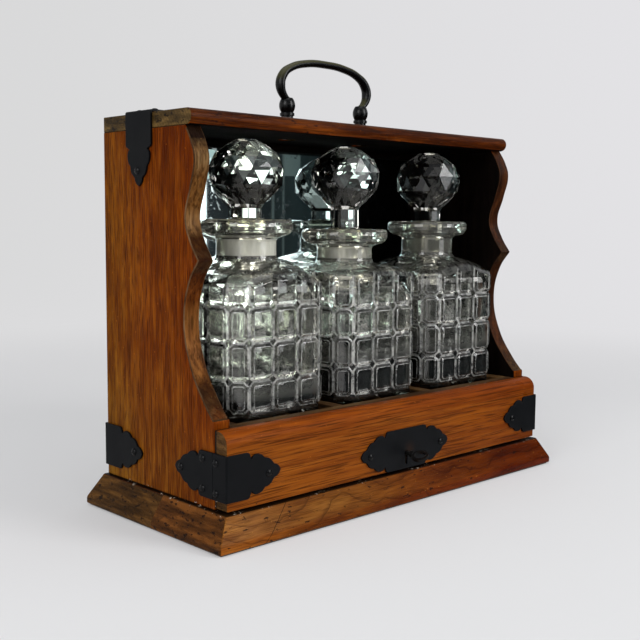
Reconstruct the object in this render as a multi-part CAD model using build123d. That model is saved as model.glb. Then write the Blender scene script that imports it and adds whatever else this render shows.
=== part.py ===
from build123d import *
import os
from math import cos, pi, radians, sin

# Antique tantalus: an oak stand that locks three square cut-glass decanters under a fixed
# top board. The front panel is the front of a shallow sliding tray with three square
# wells. A till lock behind the panel shoots its bolt down into the plinth.
# Millimetres, X along the front, Y from front to back, Z up.
# The origin is the centre of the underside.

os.makedirs("parts", exist_ok=True)

# ---- driving dimensions ------------------------------------------------------------
# Plinth
PLINTH_W, PLINTH_D = 365.0, 161.0
PLINTH_TOP = 23.0
PLINTH_EDGE = 6.0            # height of the upright edge below the canted face
CANT_X, CANT_Y = 10.5, 7.3   # how far the cant leans in at the ends, and front and back
PLINTH_JOINT_Y = -4.0        # glue joint of the plinth's two boards
BAIZE_T = 1.0

# Case
HALF_W = 169.8               # outer faces of the side panels
BOARD_T = 12.7
SIDE_FRONT_Y, BACK_Y = -58.1, 70.2
TOP_UNDER, TOP_T = 272.0, 10.85
TOP_NOSE_Y = -34.9
BACK_T = 8.0
REBATE_X = 6.35
MIRROR_T = 3.0
MIRROR_BOTTOM, MIRROR_TOP = 60.0, 266.0
BEAD = 6.0

# Front panel and tray
PANEL_FACE_Y, PANEL_BACK_Y = -70.9, -58.3
PANEL_BOTTOM, PANEL_TOP = 24.75, 76.2
PANEL_ROUND = 9.0
TRAY_HALF_W = 156.1
TRAY_BACK_Y = 51.5
TRAY_TRAVEL = 80.0
TRAY_UNDER = PLINTH_TOP + 0.2
BEARER_T, REAR_RAIL_T = 9.1, 8.0
WELL_FLOOR_BOTTOM, WELL_FLOOR_TOP = 62.0, 68.4
GUIDE_TOP = PLINTH_TOP + 12.0
PAD_T = 1.5

# Decanters
PITCH = 99.8
DECANTER_Y = -5.1
GLASS_W, GLASS_CANT = 89.0, 11.3
GLASS_BOTTOM = 70.2
WELL_W = GLASS_W + 1.0
GLASS_WALL, GLASS_BASE = 5.5, 8.0
NECK_R, LIP_R = 21.6, 33.9
MOUTH_R, PEG_TAPER, PEG_L = 12.1, 1.5, 26.0
PEG_CLEAR = 0.08
BALL_R, BALL_HALF_H, BALL_Z = 27.4, 23.6, 244.2
NECK_BASE = {"left": 182.5, "middle": 178.5, "right": 181.5}
LIP_TOP = {"left": 211.3, "middle": 204.4, "right": 210.6}

# Iron mounts
IRON_T = 1.6
STRAP_Z, STRAP_HALF = 46.0, 15.4
STRAP_END_L = 26.0           # the shaped end, from its shoulder to its point
TOP_STRAP_Y = 24.0
SCREW_HEAD_R, SCREW_HEAD_H, SCREW_R, SCREW_L = 2.7, 1.4, 1.3, 9.0
SCREW_CLEAR = 0.05

# Carrying handle
HANDLE_Y, POST_X = 18.2, 40.2
BAIL_TOP_Z, BAIL_SIDE_X, BAIL_SIDE_Z = 332.8, 47.8, 314.0
BAIL_IN_PLANE, BAIL_DEPTH = 5.9, 7.6
POST_TOP_Z = 303.7
STUD_R, STUD_CLEAR = 2.5, 0.05

# Lock and key
LOCK_X, KEY_Z = 1.5, 36.5
PLATE_T = 1.4
BIT_R, BIT_T = 6.5, 1.6
KEY_REST_DEG = 30.0          # the key rests with its bit this far above level
BOLT_THROW = 2 * BIT_R * sin(radians(KEY_REST_DEG))
LOCK_HALF_W, LOCK_BOTTOM, LOCK_TOP = 26.0, 24.9, 56.0
LOCK_WALL, CAP_Y = 1.5, -48.6
BOLT_Y0, BOLT_Y1 = -54.5, -51.5
KEY_R, KEY_FREE = 1.6, 0.05


# ---- helpers -----------------------------------------------------------------------
def span(x0, x1, y0, y1, z0, z1):
    """A box between two corners."""
    box = Box(x1 - x0, y1 - y0, z1 - z0, align=(Align.MIN, Align.MIN, Align.MIN))
    return Pos(x0, y0, z0) * box


def both(solid):
    """A piece on the left and its mirror image on the right."""
    return solid, mirror(solid, about=Plane.YZ)


def flipped(edge, about):
    return mirror(edge, about=about).edge()


def turned(outline):
    """Turn a closed outline of (radius, height) edges about Z."""
    return revolve(Plane.XZ * make_face(outline), Axis.Z)


def group(solids):
    """Separate solids that share one node."""
    return Compound(children=[part.solid() for part in solids])


def screw(place, length=SCREW_L):
    """A domed, slotted screw; place is the plane of the surface that it holds down."""
    shank_and_rim = Polyline((0, -length), (SCREW_R, -length), (SCREW_R, 0),
                             (SCREW_HEAD_R, 0), (SCREW_HEAD_R, 0.3))
    dome = ThreePointArc((SCREW_HEAD_R, 0.3), (SCREW_HEAD_R * 0.62, SCREW_HEAD_H * 0.8),
                         (0, SCREW_HEAD_H))
    body = turned([shank_and_rim, dome, Line((0, SCREW_HEAD_H), (0, -length))])
    slot = Pos(0, 0, SCREW_HEAD_H) * Box(2 * SCREW_HEAD_R, 0.6, 1.0)
    return place.location * (body - slot)


def screw_bore(place, length=SCREW_L):
    """The hole that the screw's shank fills."""
    hole = Cylinder(SCREW_R, length + 0.01, align=(Align.CENTER, Align.CENTER, Align.MAX))
    return place.location * hole


def drill(parts, names, places, length=SCREW_L):
    for name in names:
        for place in places:
            parts[name] = parts[name] - screw_bore(place, length)


def leaf(length, half=STRAP_HALF, start=-IRON_T):
    """A strap leaf along +X: a plain band, then two scallops each side, and a blunt point."""
    shoulder = length - STRAP_END_L
    band_end, corner = (shoulder - 2.4, half), (shoulder - 0.3, half - 2.1)
    notch, nick = (shoulder + 0.9, half - 4.6), (shoulder + 12.4, half - 5.6)
    last_nick = (shoulder + 20.3, half - 10.7)
    upper = [
        Line((start, half), band_end),
        ThreePointArc(band_end, (shoulder - 0.9, half - 0.7), corner),
        Line(corner, notch),
        ThreePointArc(notch, (shoulder + 6.2, half - 2.1), nick),
        ThreePointArc(nick, (shoulder + 17.2, half - 7.2), last_nick),
        ThreePointArc(last_nick, (shoulder + 24.0, 2.8), (length, 0)),
    ]
    lower = [flipped(edge, Plane.XZ) for edge in upper]
    return make_face(upper + lower + [Line((start, -half), (start, half))])


def on_face(origin, along, outward):
    return Plane(origin=origin, x_dir=along, z_dir=outward)


def plate(place, outline, thickness=IRON_T):
    return extrude(place * outline, thickness, dir=place.z_dir)


# ---- plinth ------------------------------------------------------------------------
def plinth_boards():
    low = Rectangle(PLINTH_W, PLINTH_D)
    high = Rectangle(PLINTH_W - 2 * CANT_X, PLINTH_D - 2 * CANT_Y)
    edge = extrude(Pos(0, 0, BAIZE_T) * low, PLINTH_EDGE - BAIZE_T)
    cant = loft([Pos(0, 0, PLINTH_EDGE) * low, Pos(0, 0, PLINTH_TOP) * high])
    block = edge + cant
    front = span(-200, 200, -100, PLINTH_JOINT_Y, 0, 30)
    mortise = span(LOCK_X - 10, LOCK_X + 15.5, BOLT_Y0 - 0.6, BOLT_Y1 + 0.6, 15.5, 30)
    strike_seat = span(LOCK_X - 20, LOCK_X + 25.5, -57.5, -48.5, PLINTH_TOP - 2, 30)
    return (block & front) - mortise - strike_seat, block - front


def strike_plate():
    bar = span(LOCK_X - 20, LOCK_X + 25.5, -57.5, -48.5, PLINTH_TOP - 2, PLINTH_TOP)
    slot = span(LOCK_X - 9.6, LOCK_X + 15.1, BOLT_Y0 - 0.4, BOLT_Y1 + 0.4, 15, 30)
    return bar - slot


# ---- case --------------------------------------------------------------------------
def side_panel():
    """The left side panel, with its scrolled front edge, from outer to inner face."""
    toe, beak, head = (-56.4, 82.2), (-41.6, 184.4), (-27.9, TOP_UNDER)
    outline = [
        Line((BACK_Y, PLINTH_TOP), (SIDE_FRONT_Y, PLINTH_TOP)),
        Line((SIDE_FRONT_Y, PLINTH_TOP), (SIDE_FRONT_Y, 80.0)),
        ThreePointArc((SIDE_FRONT_Y, 80.0), (-57.7, 81.6), toe),
        Spline(toe, (-47.4, 92.2), (-32.5, 115.3), (-25.7, 144.1), (-31.6, 170.4), beak),
        Spline(beak, (-32.8, 196.9), (-27.5, 211.3), (-33.4, 232.0), (-37.8, 250.7),
               (-34.4, 261.5), head),
        Line(head, (BACK_Y, TOP_UNDER)),
        Line((BACK_Y, TOP_UNDER), (BACK_Y, PLINTH_TOP)),
    ]
    board = extrude(Plane.YZ * make_face(outline), BOARD_T)
    rebate = span(BOARD_T - REBATE_X, BOARD_T + 1, BACK_Y - BACK_T, BACK_Y + 1, 0, 300)
    return Pos(-HALF_W, 0, 0) * (board - rebate)


def top_board():
    nose_r = TOP_T / 2
    front, top = TOP_NOSE_Y + nose_r, TOP_UNDER + TOP_T
    outline = [
        Line((BACK_Y, TOP_UNDER), (front, TOP_UNDER)),
        ThreePointArc((front, TOP_UNDER), (TOP_NOSE_Y, TOP_UNDER + nose_r), (front, top)),
        Line((front, top), (BACK_Y, top)),
        Line((BACK_Y, top), (BACK_Y, TOP_UNDER)),
    ]
    board = Pos(-HALF_W, 0, 0) * extrude(Plane.YZ * make_face(outline), 2 * HALF_W)
    for x in (-POST_X, POST_X):
        board -= Pos(x, HANDLE_Y, TOP_UNDER) * Cylinder(STUD_R + STUD_CLEAR, 40)
        board -= Pos(x, HANDLE_Y, TOP_UNDER) * Cylinder(7.0, 10.0)
    return board


def mirror_and_beads():
    back_face = BACK_Y - BACK_T
    glass_x = HALF_W - BOARD_T - BEAD
    glass = span(-glass_x, glass_x, back_face - MIRROR_T, back_face,
                 MIRROR_BOTTOM, MIRROR_TOP)
    inner = HALF_W - BOARD_T
    top_rail = span(-inner, inner, 54.0, back_face, MIRROR_TOP, TOP_UNDER)
    foot = span(-inner, inner, 56.0, back_face, MIRROR_BOTTOM - BEAD, MIRROR_BOTTOM)
    left, right = both(span(-inner, -glass_x, 56.0, back_face, MIRROR_BOTTOM, MIRROR_TOP))
    return glass, top_rail, foot, left, right


# ---- carrying handle ---------------------------------------------------------------
def bail():
    """A C-shaped carrying bail, bent from one bar, its ends turned in to the posts."""
    crown = ThreePointArc((-36.5, 327.6), (0, BAIL_TOP_Z), (36.5, 327.6))
    right = TangentArc(crown @ 1, (BAIL_SIDE_X, BAIL_SIDE_Z), tangent=crown % 1)
    right_end = TangentArc(right @ 1, (POST_X, POST_TOP_Z - 1.5), tangent=right % 1)
    left, left_end = flipped(right, Plane.YZ), flipped(right_end, Plane.YZ)
    path = Plane.XZ.offset(-HANDLE_Y) * Wire([left_end, left, crown, right, right_end])
    start = Plane(origin=path @ 0, x_dir=(0, 1, 0), z_dir=path % 0)
    return sweep(start * Ellipse(BAIL_DEPTH / 2, BAIL_IN_PLANE / 2), path=path)


def handle_post(x):
    """Turned post: foot disc, column, collar and bulb above; a threaded stud below."""
    top = TOP_UNDER + TOP_T
    stud = Polyline((0, TOP_UNDER + 0.6), (STUD_R, TOP_UNDER + 0.6), (STUD_R, top))
    foot = Polyline((STUD_R, top), (7.6, top), (7.6, top + 1.8), (4.6, top + 3.0),
                    (4.6, 290.0), (5.6, 290.4), (5.6, 292.2), (4.7, 293.0))
    bulb = ThreePointArc((4.7, 293.0), (6.2, 298.2), (4.2, POST_TOP_Z))
    axis = Polyline((4.2, POST_TOP_Z), (0, POST_TOP_Z), (0, TOP_UNDER + 0.6))
    return Pos(x, HANDLE_Y, 0) * turned([stud, foot, bulb, axis])


def handle_nut(x):
    nut = extrude(RegularPolygon(5.2, 6), 4.2) - Cylinder(STUD_R, 20)
    return Pos(x, HANDLE_Y, TOP_UNDER + 0.6) * nut


# ---- iron mounts -------------------------------------------------------------------
def top_strap():
    top = TOP_UNDER + TOP_T
    corner = (-HALF_W, TOP_STRAP_Y, top)
    hang = plate(on_face(corner, (0, 0, -1), (-1, 0, 0)), leaf(49.5))
    lie = plate(on_face(corner, (1, 0, 0), (0, 0, 1)), leaf(49.5))
    return hang + lie


def back_strap():
    corner = (-HALF_W, BACK_Y, STRAP_Z)
    side = plate(on_face(corner, (0, -1, 0), (-1, 0, 0)), leaf(47.0))
    rear = plate(on_face(corner, (1, 0, 0), (0, 1, 0)), leaf(47.0))
    return side + rear


def side_leaf():
    seam = (-HALF_W, SIDE_FRONT_Y, STRAP_Z)
    return plate(on_face(seam, (0, 1, 0), (-1, 0, 0)), leaf(41.5, start=0.0))


def front_strap():
    """The part of the corner mount that travels with the front panel."""
    corner = (-HALF_W, PANEL_FACE_Y, STRAP_Z)
    face = plate(on_face(corner, (1, 0, 0), (0, -1, 0)), leaf(44.5))
    end = span(-HALF_W - IRON_T, -HALF_W, PANEL_FACE_Y - IRON_T, PANEL_BACK_Y,
               STRAP_Z - STRAP_HALF, STRAP_Z + STRAP_HALF)
    return face + end


def escutcheon():
    centre = on_face((LOCK_X, PANEL_FACE_Y, 40.2), (1, 0, 0), (0, -1, 0))
    half = plate(centre, leaf(48.8, start=0.0), PLATE_T)
    other = mirror(half, about=Plane.YZ.offset(LOCK_X))
    round_hole = Pos(LOCK_X, PANEL_FACE_Y, KEY_Z) * Rot(90, 0, 0) * Cylinder(2.1, 10)
    slot = span(LOCK_X - 1.1, LOCK_X + 1.1, PANEL_FACE_Y - 5, PANEL_FACE_Y + 5,
                KEY_Z - 8.5, KEY_Z)
    return half + other - round_hole - slot


def strap_screw_places():
    """Planes at the surface of the iron, with their Z outward, for the left-hand mounts."""
    out = -HALF_W - IRON_T
    side = [(35.0, 0.0), (11.0, 10.0), (11.0, -10.0)]
    case = [on_face((out, SIDE_FRONT_Y + s, STRAP_Z + h), (0, 1, 0), (-1, 0, 0))
            for s, h in side]
    case += [on_face((out, BACK_Y - 37.0, STRAP_Z), (0, 1, 0), (-1, 0, 0)),
             on_face((out, TOP_STRAP_Y + 1.5, TOP_UNDER + TOP_T - 39.0), (0, 1, 0), (-1, 0, 0))]
    case += [on_face((-HALF_W + s, TOP_STRAP_Y + h, TOP_UNDER + TOP_T + IRON_T), (1, 0, 0),
                     (0, 0, 1)) for s, h in ((39.0, 0.0), (6.4, 9.0), (6.4, -9.0))]
    case += [on_face((-HALF_W + s, BACK_Y + IRON_T, STRAP_Z + h), (1, 0, 0), (0, 1, 0))
             for s, h in ((37.0, 0.0), (4.0, 10.0), (4.0, -10.0))]
    panel = [on_face((-HALF_W + 34.0, PANEL_FACE_Y - IRON_T, STRAP_Z - 0.8), (1, 0, 0),
                     (0, -1, 0))]
    panel += [on_face((out, -61.2, STRAP_Z + h), (0, 1, 0), (-1, 0, 0))
              for h in (9.0, -11.0)]
    return case, panel


# ---- tray --------------------------------------------------------------------------
def front_panel():
    low_edge = PANEL_TOP - PANEL_ROUND
    flat_y = PANEL_FACE_Y + PANEL_ROUND
    bulge = PANEL_ROUND * (1 - cos(pi / 4))
    outline = [
        Line((PANEL_BACK_Y, PANEL_BOTTOM), (PANEL_FACE_Y, PANEL_BOTTOM)),
        Line((PANEL_FACE_Y, PANEL_BOTTOM), (PANEL_FACE_Y, low_edge)),
        ThreePointArc((PANEL_FACE_Y, low_edge),
                      (PANEL_FACE_Y + bulge, PANEL_TOP - bulge), (flat_y, PANEL_TOP)),
        Line((flat_y, PANEL_TOP), (PANEL_BACK_Y, PANEL_TOP)),
        Line((PANEL_BACK_Y, PANEL_TOP), (PANEL_BACK_Y, PANEL_BOTTOM)),
    ]
    board = Pos(-HALF_W, 0, 0) * extrude(Plane.YZ * make_face(outline), 2 * HALF_W)
    key_way = Pos(LOCK_X, PANEL_FACE_Y, KEY_Z) * Rot(90, 0, 0) * Cylinder(2.6, 40)
    slot = span(LOCK_X - 1.6, LOCK_X + 1.6, PANEL_FACE_Y - 5, PANEL_BACK_Y + 5,
                KEY_Z - 9.0, KEY_Z)
    return board - key_way - slot


def tray_frame():
    """Bearers, rear rail and well floor: the hidden carcase behind the front panel."""
    bearers = both(span(-TRAY_HALF_W, -TRAY_HALF_W + BEARER_T, PANEL_BACK_Y, TRAY_BACK_Y,
                        TRAY_UNDER, WELL_FLOOR_BOTTOM))
    inner = TRAY_HALF_W - BEARER_T
    rail = span(-inner, inner, TRAY_BACK_Y - REAR_RAIL_T, TRAY_BACK_Y,
                TRAY_UNDER, WELL_FLOOR_BOTTOM)
    notches = both(span(-inner, -inner + 9.5, 0, TRAY_BACK_Y, TRAY_UNDER, GUIDE_TOP + 0.5))
    floor = span(-TRAY_HALF_W, TRAY_HALF_W, PANEL_BACK_Y, TRAY_BACK_Y,
                 WELL_FLOOR_BOTTOM, WELL_FLOOR_TOP)
    return *bearers, rail - notches[0] - notches[1], floor


def well_strips():
    """The strips round the three square wells, glued down on the well floor."""
    front, back = DECANTER_Y - WELL_W / 2, DECANTER_Y + WELL_W / 2
    z0, z1 = WELL_FLOOR_TOP, PANEL_TOP
    front_rail = span(-TRAY_HALF_W, TRAY_HALF_W, PANEL_BACK_Y, front, z0, z1)
    back_rail = span(-TRAY_HALF_W, TRAY_HALF_W, back, TRAY_BACK_Y, z0, z1)
    dividers = both(span(-PITCH + WELL_W / 2, -WELL_W / 2, front, back, z0, z1))
    ends = both(span(-TRAY_HALF_W, -PITCH - WELL_W / 2, front, back, z0, z1))
    return front_rail, back_rail, *dividers, *ends


def well_pads():
    pad = Box(WELL_W - 1.0, WELL_W - 1.0, PAD_T)
    return group([Pos(x, DECANTER_Y, WELL_FLOOR_TOP + PAD_T / 2) * pad
                  for x in (-PITCH, 0, PITCH)])


def tray_runners():
    """Guides that keep the tray straight, and the stop that its rear rail meets."""
    inner = TRAY_HALF_W - BEARER_T - 0.5
    guides = both(span(-inner, -inner + 8.5, -45.0, 50.0, PLINTH_TOP, GUIDE_TOP))
    stop_face = TRAY_BACK_Y - REAR_RAIL_T - TRAY_TRAVEL
    stop = span(-110, 110, stop_face - 8.0, stop_face, PLINTH_TOP, GUIDE_TOP)
    return *guides, stop


# ---- lock and key ------------------------------------------------------------------
def lock_case():
    box = span(-LOCK_HALF_W, LOCK_HALF_W, PANEL_BACK_Y, CAP_Y, LOCK_BOTTOM, LOCK_TOP)
    inside = span(-LOCK_HALF_W + LOCK_WALL, LOCK_HALF_W - LOCK_WALL,
                  PANEL_BACK_Y + LOCK_WALL, CAP_Y + 1,
                  LOCK_BOTTOM + LOCK_WALL, LOCK_TOP - LOCK_WALL)
    ears = span(-LOCK_HALF_W - 9, LOCK_HALF_W + 9, PANEL_BACK_Y,
                PANEL_BACK_Y + LOCK_WALL, LOCK_BOTTOM, LOCK_TOP)
    bolt_way = span(-9.2, 14.7, BOLT_Y0 - 0.15, BOLT_Y1 + 0.15, 20, 30)
    key_hole = Pos(0, PANEL_BACK_Y, KEY_Z) * Rot(90, 0, 0) * Cylinder(2.0, 6)
    slot = span(-1.2, 1.2, PANEL_BACK_Y - 1, PANEL_BACK_Y + 3, KEY_Z - 8.0, KEY_Z)
    return Pos(LOCK_X, 0, 0) * (box + ears - inside - bolt_way - key_hole - slot)


def lock_cap():
    cap = span(-LOCK_HALF_W, LOCK_HALF_W, CAP_Y, CAP_Y + LOCK_WALL, LOCK_BOTTOM, LOCK_TOP)
    pivot = Pos(0, CAP_Y, KEY_Z) * Rot(90, 0, 0) * Cylinder(KEY_R + KEY_FREE, 6)
    return Pos(LOCK_X, 0, 0) * (cap - pivot)


def lock_bolt():
    """Drawn up at rest; the bit works in the notch of its tail."""
    tail = span(4.9, 14.5, BOLT_Y0, BOLT_Y1, 27.0, 47.5)
    head = span(-9.0, 14.5, BOLT_Y0, BOLT_Y1, 25.2, 30.0)
    notch_z = KEY_Z + BOLT_THROW / 2
    notch = span(4.0, 7.1, BOLT_Y0 - 1, BOLT_Y1 + 1, notch_z - 1.8, notch_z + 1.8)
    return Pos(LOCK_X, 0, 0) * (tail + head - notch)


def lock_spring():
    """A bowed flat spring that rubs on the bolt's edge and holds it where it is put."""
    near = ThreePointArc((24.0, 52.0), (14.7, 41.0), (24.0, 30.0))
    far = ThreePointArc((24.3, 30.6), (15.3, 41.0), (24.3, 51.4))
    strip = make_face([near, Line(near @ 1, far @ 0), far, Line(far @ 1, near @ 0)])
    return Pos(LOCK_X, BOLT_Y1, 0) * extrude(Plane.XZ * strip, 3.0)


def key():
    """Oval bow, collar, round shank and flat bit, turned to its angle at rest."""
    shank = span_y(-79.5, CAP_Y + LOCK_WALL, KEY_R)
    collar = span_y(-79.5, -77.0, 2.6)
    bit = span(0.8, BIT_R, BOLT_Y0 + 0.1, BOLT_Y1 - 0.1, -BIT_T / 2, BIT_T / 2)
    ring = Ellipse(5.6, 7.2) - Ellipse(3.4, 5.0)
    bow = Pos(0, -85.6, -1.0) * extrude(ring, 2.0)
    whole = shank + collar + bit + bow
    return Pos(LOCK_X, 0, KEY_Z) * Rot(0, -KEY_REST_DEG, 0) * whole


def span_y(y0, y1, radius):
    """A round bar along Y."""
    bar = Cylinder(radius, y1 - y0, align=(Align.CENTER, Align.CENTER, Align.MAX))
    return Pos(0, y0, 0) * Rot(90, 0, 0) * bar


# ---- glass -------------------------------------------------------------------------
def square_glass(width, cant):
    half = width / 2
    flat = half - cant
    return Polygon((-half, -flat), (-flat, -half), (flat, -half), (half, -flat),
                   (half, flat), (flat, half), (-flat, half), (-half, flat), align=None)


def domed_body(width, cant, bottom, drop, neck_r, neck_base):
    """A square body with canted corners under a low dome that rises to the neck."""
    prism = Pos(0, 0, bottom) * extrude(square_glass(width, cant), 130)
    shoulder = [
        Polyline((0, bottom - 1), (64.0, bottom - 1), (64.0, 166.0 - drop)),
        ThreePointArc((64.0, 166.0 - drop), (44.0, 174.8 - drop), (neck_r, neck_base)),
        Polyline((neck_r, neck_base), (0, neck_base), (0, bottom - 1)),
    ]
    return prism & turned(shoulder)


def neck_and_lip(neck_base, lip_top):
    outline = [
        Polyline((0, neck_base - 4), (NECK_R, neck_base - 4), (NECK_R, lip_top - 15)),
        ThreePointArc((NECK_R, lip_top - 15), (24.0, lip_top - 12.4), (29.5, lip_top - 11)),
        Line((29.5, lip_top - 11), (32.6, lip_top - 9.2)),
        ThreePointArc((32.6, lip_top - 9.2), (LIP_R, lip_top - 4.6), (32.9, lip_top)),
        Polyline((32.9, lip_top), (0, lip_top), (0, neck_base - 4)),
    ]
    return turned(outline)


def bore(lip_top, floor, grow=0.0):
    """The tapered mouth that the stopper's peg is ground to, down to a floor height."""
    slope = PEG_TAPER / PEG_L
    low_r = MOUTH_R - slope * (lip_top - floor) + grow
    return turned([Polyline((0, floor), (low_r, floor), (MOUTH_R + grow, lip_top),
                            (0, lip_top), (0, floor))])


def decanter(x, side):
    neck_base, lip_top = NECK_BASE[side], LIP_TOP[side]
    outside = domed_body(GLASS_W, GLASS_CANT, GLASS_BOTTOM, 0.0, NECK_R, neck_base)
    outside += neck_and_lip(neck_base, lip_top)
    inside = domed_body(GLASS_W - 2 * GLASS_WALL, GLASS_CANT - 1.5,
                        GLASS_BOTTOM + GLASS_BASE, 7.0, 11.0, neck_base - 7.0)
    mouth = bore(lip_top, lip_top - PEG_L - 2.0)
    throat = Pos(0, 0, neck_base - 12) * Cylinder(
        10.4, lip_top - PEG_L - neck_base + 12,
        align=(Align.CENTER, Align.CENTER, Align.MIN))
    return Pos(x, DECANTER_Y, 0) * (outside - inside - mouth - throat)


def oval(radius, half_height, centre_z):
    """Half of an upright ellipse, closed along the axis."""
    bend = 0.5523                # makes a cubic curve follow a quarter of an ellipse
    low, high = centre_z - half_height, centre_z + half_height
    lift = bend * half_height
    return [
        Bezier((0, low), (bend * radius, low), (radius, centre_z - lift),
               (radius, centre_z)),
        Bezier((radius, centre_z), (radius, centre_z + lift), (bend * radius, high),
               (0, high)),
        Line((0, high), (0, low)),
    ]


def stopper(x, side):
    """A ball stopper: flattened ball, collar, and a peg ground to the decanter's mouth."""
    lip_top = LIP_TOP[side]
    ball_solid = turned(oval(BALL_R, BALL_HALF_H, BALL_Z))
    collar_r = MOUTH_R - 0.9
    collar = turned([
        Line((0, lip_top + 0.4), (collar_r, lip_top + 0.4)),
        Line((collar_r, lip_top + 0.4), (collar_r, 219.6)),
        ThreePointArc((collar_r, 219.6), (12.6, 222.4), (16.5, 226.0)),
        Polyline((16.5, 226.0), (0, 226.0), (0, lip_top + 0.4)),
    ])
    peg = bore(lip_top, lip_top - PEG_L, -PEG_CLEAR)
    rim = Pos(0, 0, lip_top) * Cylinder(collar_r, 0.8)
    return Pos(x, DECANTER_Y, 0) * (ball_solid + collar + peg + rim)


# ---- assembly ----------------------------------------------------------------------
def long_screw(x, y, grow=0.0):
    """A countersunk screw driven up through the plinth into a side panel, or its hole."""
    head, shank, tip = 3.6 + grow, 1.8 + grow, 38.0 + grow
    outline = [Polyline((0, BAIZE_T), (head, BAIZE_T), (shank, BAIZE_T + 2.4),
                        (shank, tip), (0, tip), (0, BAIZE_T))]
    return Pos(x, y, 0) * turned(outline)


def build():
    parts = {}
    parts["base_baize"] = span(-PLINTH_W / 2 + 2, PLINTH_W / 2 - 2, -PLINTH_D / 2 + 2,
                               PLINTH_D / 2 - 2, 0, BAIZE_T)
    parts["plinth_board_front"], parts["plinth_board_back"] = plinth_boards()
    parts["side_panel_left"], parts["side_panel_right"] = both(side_panel())
    parts["top_board"] = top_board()
    rebate_x = HALF_W - BOARD_T + REBATE_X
    parts["back_board"] = span(-rebate_x, rebate_x, BACK_Y - BACK_T, BACK_Y,
                               PLINTH_TOP, TOP_UNDER)
    beads = ("mirror_glass", "mirror_rail_top", "mirror_bead_bottom", "mirror_bead_left",
             "mirror_bead_right")
    parts.update(zip(beads, mirror_and_beads()))
    runners = ("tray_guide_left", "tray_guide_right", "tray_stop")
    parts.update(zip(runners, tray_runners()))
    parts["strike_plate"] = strike_plate()

    parts["handle_bail"] = bail()
    for name, x in (("left", -POST_X), ("right", POST_X)):
        parts["handle_post_" + name] = handle_post(x) - parts["handle_bail"]
    parts["handle_nuts"] = group([handle_nut(-POST_X), handle_nut(POST_X)])

    parts["top_strap_left"], parts["top_strap_right"] = both(top_strap())
    parts["back_strap_left"], parts["back_strap_right"] = both(back_strap())
    parts["side_leaf_left"], parts["side_leaf_right"] = both(side_leaf())
    parts["front_strap_left"], parts["front_strap_right"] = both(front_strap())
    parts["escutcheon"] = escutcheon()

    parts["front_panel"] = front_panel()
    frame = ("tray_bearer_left", "tray_bearer_right", "tray_rear_rail", "well_floor")
    parts.update(zip(frame, tray_frame()))
    strips = ("well_rail_front", "well_rail_back", "well_divider_left",
              "well_divider_right", "well_end_left", "well_end_right")
    parts.update(zip(strips, well_strips()))
    parts["well_baize"] = well_pads()

    parts["lock_case"], parts["lock_cap"] = lock_case(), lock_cap()
    parts["lock_bolt"], parts["lock_spring"] = lock_bolt(), lock_spring()
    parts["key"] = key()

    for side, x in (("left", -PITCH), ("middle", 0.0), ("right", PITCH)):
        parts["decanter_" + side] = decanter(x, side)
        parts["stopper_" + side] = stopper(x, side)
    add_screws(parts)
    return parts


def add_screws(parts):
    """Every screw, and the holes that they fill."""
    left_case, left_panel = strap_screw_places()
    case = left_case + [mirrored(place) for place in left_case]
    panel = left_panel + [mirrored(place) for place in left_panel]
    parts["case_strap_screws"] = group([screw(place) for place in case])
    parts["panel_strap_screws"] = group([screw(place) for place in panel])
    for hand, places in (("left", left_case), ("right", case[len(left_case):])):
        drill(parts, ["top_strap_" + hand, "back_strap_" + hand, "side_leaf_" + hand,
                      "side_panel_" + hand], places)
        drill(parts, ["top_board", "back_board"], places)
    for hand, places in (("left", left_panel), ("right", panel[len(left_panel):])):
        drill(parts, ["front_strap_" + hand, "front_panel"], places)

    plate_face = PANEL_FACE_Y - PLATE_T
    pins = [on_face((LOCK_X + x, plate_face, 39.6), (1, 0, 0), (0, -1, 0))
            for x in (-39.5, 39.5)]
    parts["escutcheon_screws"] = group([screw(place) for place in pins])
    drill(parts, ["escutcheon", "front_panel"], pins)

    ear_face = PANEL_BACK_Y + LOCK_WALL
    ears = [on_face((LOCK_X + x, ear_face, z), (1, 0, 0), (0, 1, 0))
            for x in (-30.5, 30.5) for z in (31.0, 50.0)]
    parts["lock_screws"] = group([screw(place) for place in ears])
    drill(parts, ["lock_case", "front_panel"], ears)

    heads = [on_face((LOCK_X + x, -53.0, PLINTH_TOP), (1, 0, 0), (0, 0, 1))
             for x in (-15.0, 20.5)]
    flush = [extrude(place * Circle(SCREW_R), -SCREW_L) for place in heads]
    parts["strike_pins"] = group(flush)
    drill(parts, ["strike_plate", "plinth_board_front"], heads)

    rear = [on_face((x, BACK_Y, z), (1, 0, 0), (0, 1, 0))
            for x in (-160.3, 160.3) for z in (95.0, 165.0, 235.0)]
    parts["back_board_screws"] = group([screw(place, 14.0) for place in rear])
    drill(parts, ["back_board", "side_panel_left", "side_panel_right"], rear, 14.0)

    seat = HALF_W - BOARD_T / 2
    under = [(x, y) for x in (-seat, seat) for y in (-40.0, 8.0, 54.0)]
    parts["plinth_screws"] = group([long_screw(x, y) for x, y in under])
    for x, y in under:
        for name in ("plinth_board_front", "plinth_board_back", "side_panel_left",
                     "side_panel_right"):
            parts[name] = parts[name] - long_screw(x, y, SCREW_CLEAR)


def mirrored(place):
    """The same screw place on the right-hand side."""
    flip = lambda v: (-v.X, v.Y, v.Z)
    return Plane(origin=flip(place.origin), x_dir=flip(place.x_dir), z_dir=flip(place.z_dir))


for node, shape in build().items():
    export_step(shape, "parts/" + node + ".step")
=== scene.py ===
"""The looks of an antique tantalus: oak case, iron mounts, bronze bail, three cut decanters."""
from math import cos, pi, radians, sin

import bmesh
import bpy
from mathutils import Matrix, Quaternion, Vector


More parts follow.
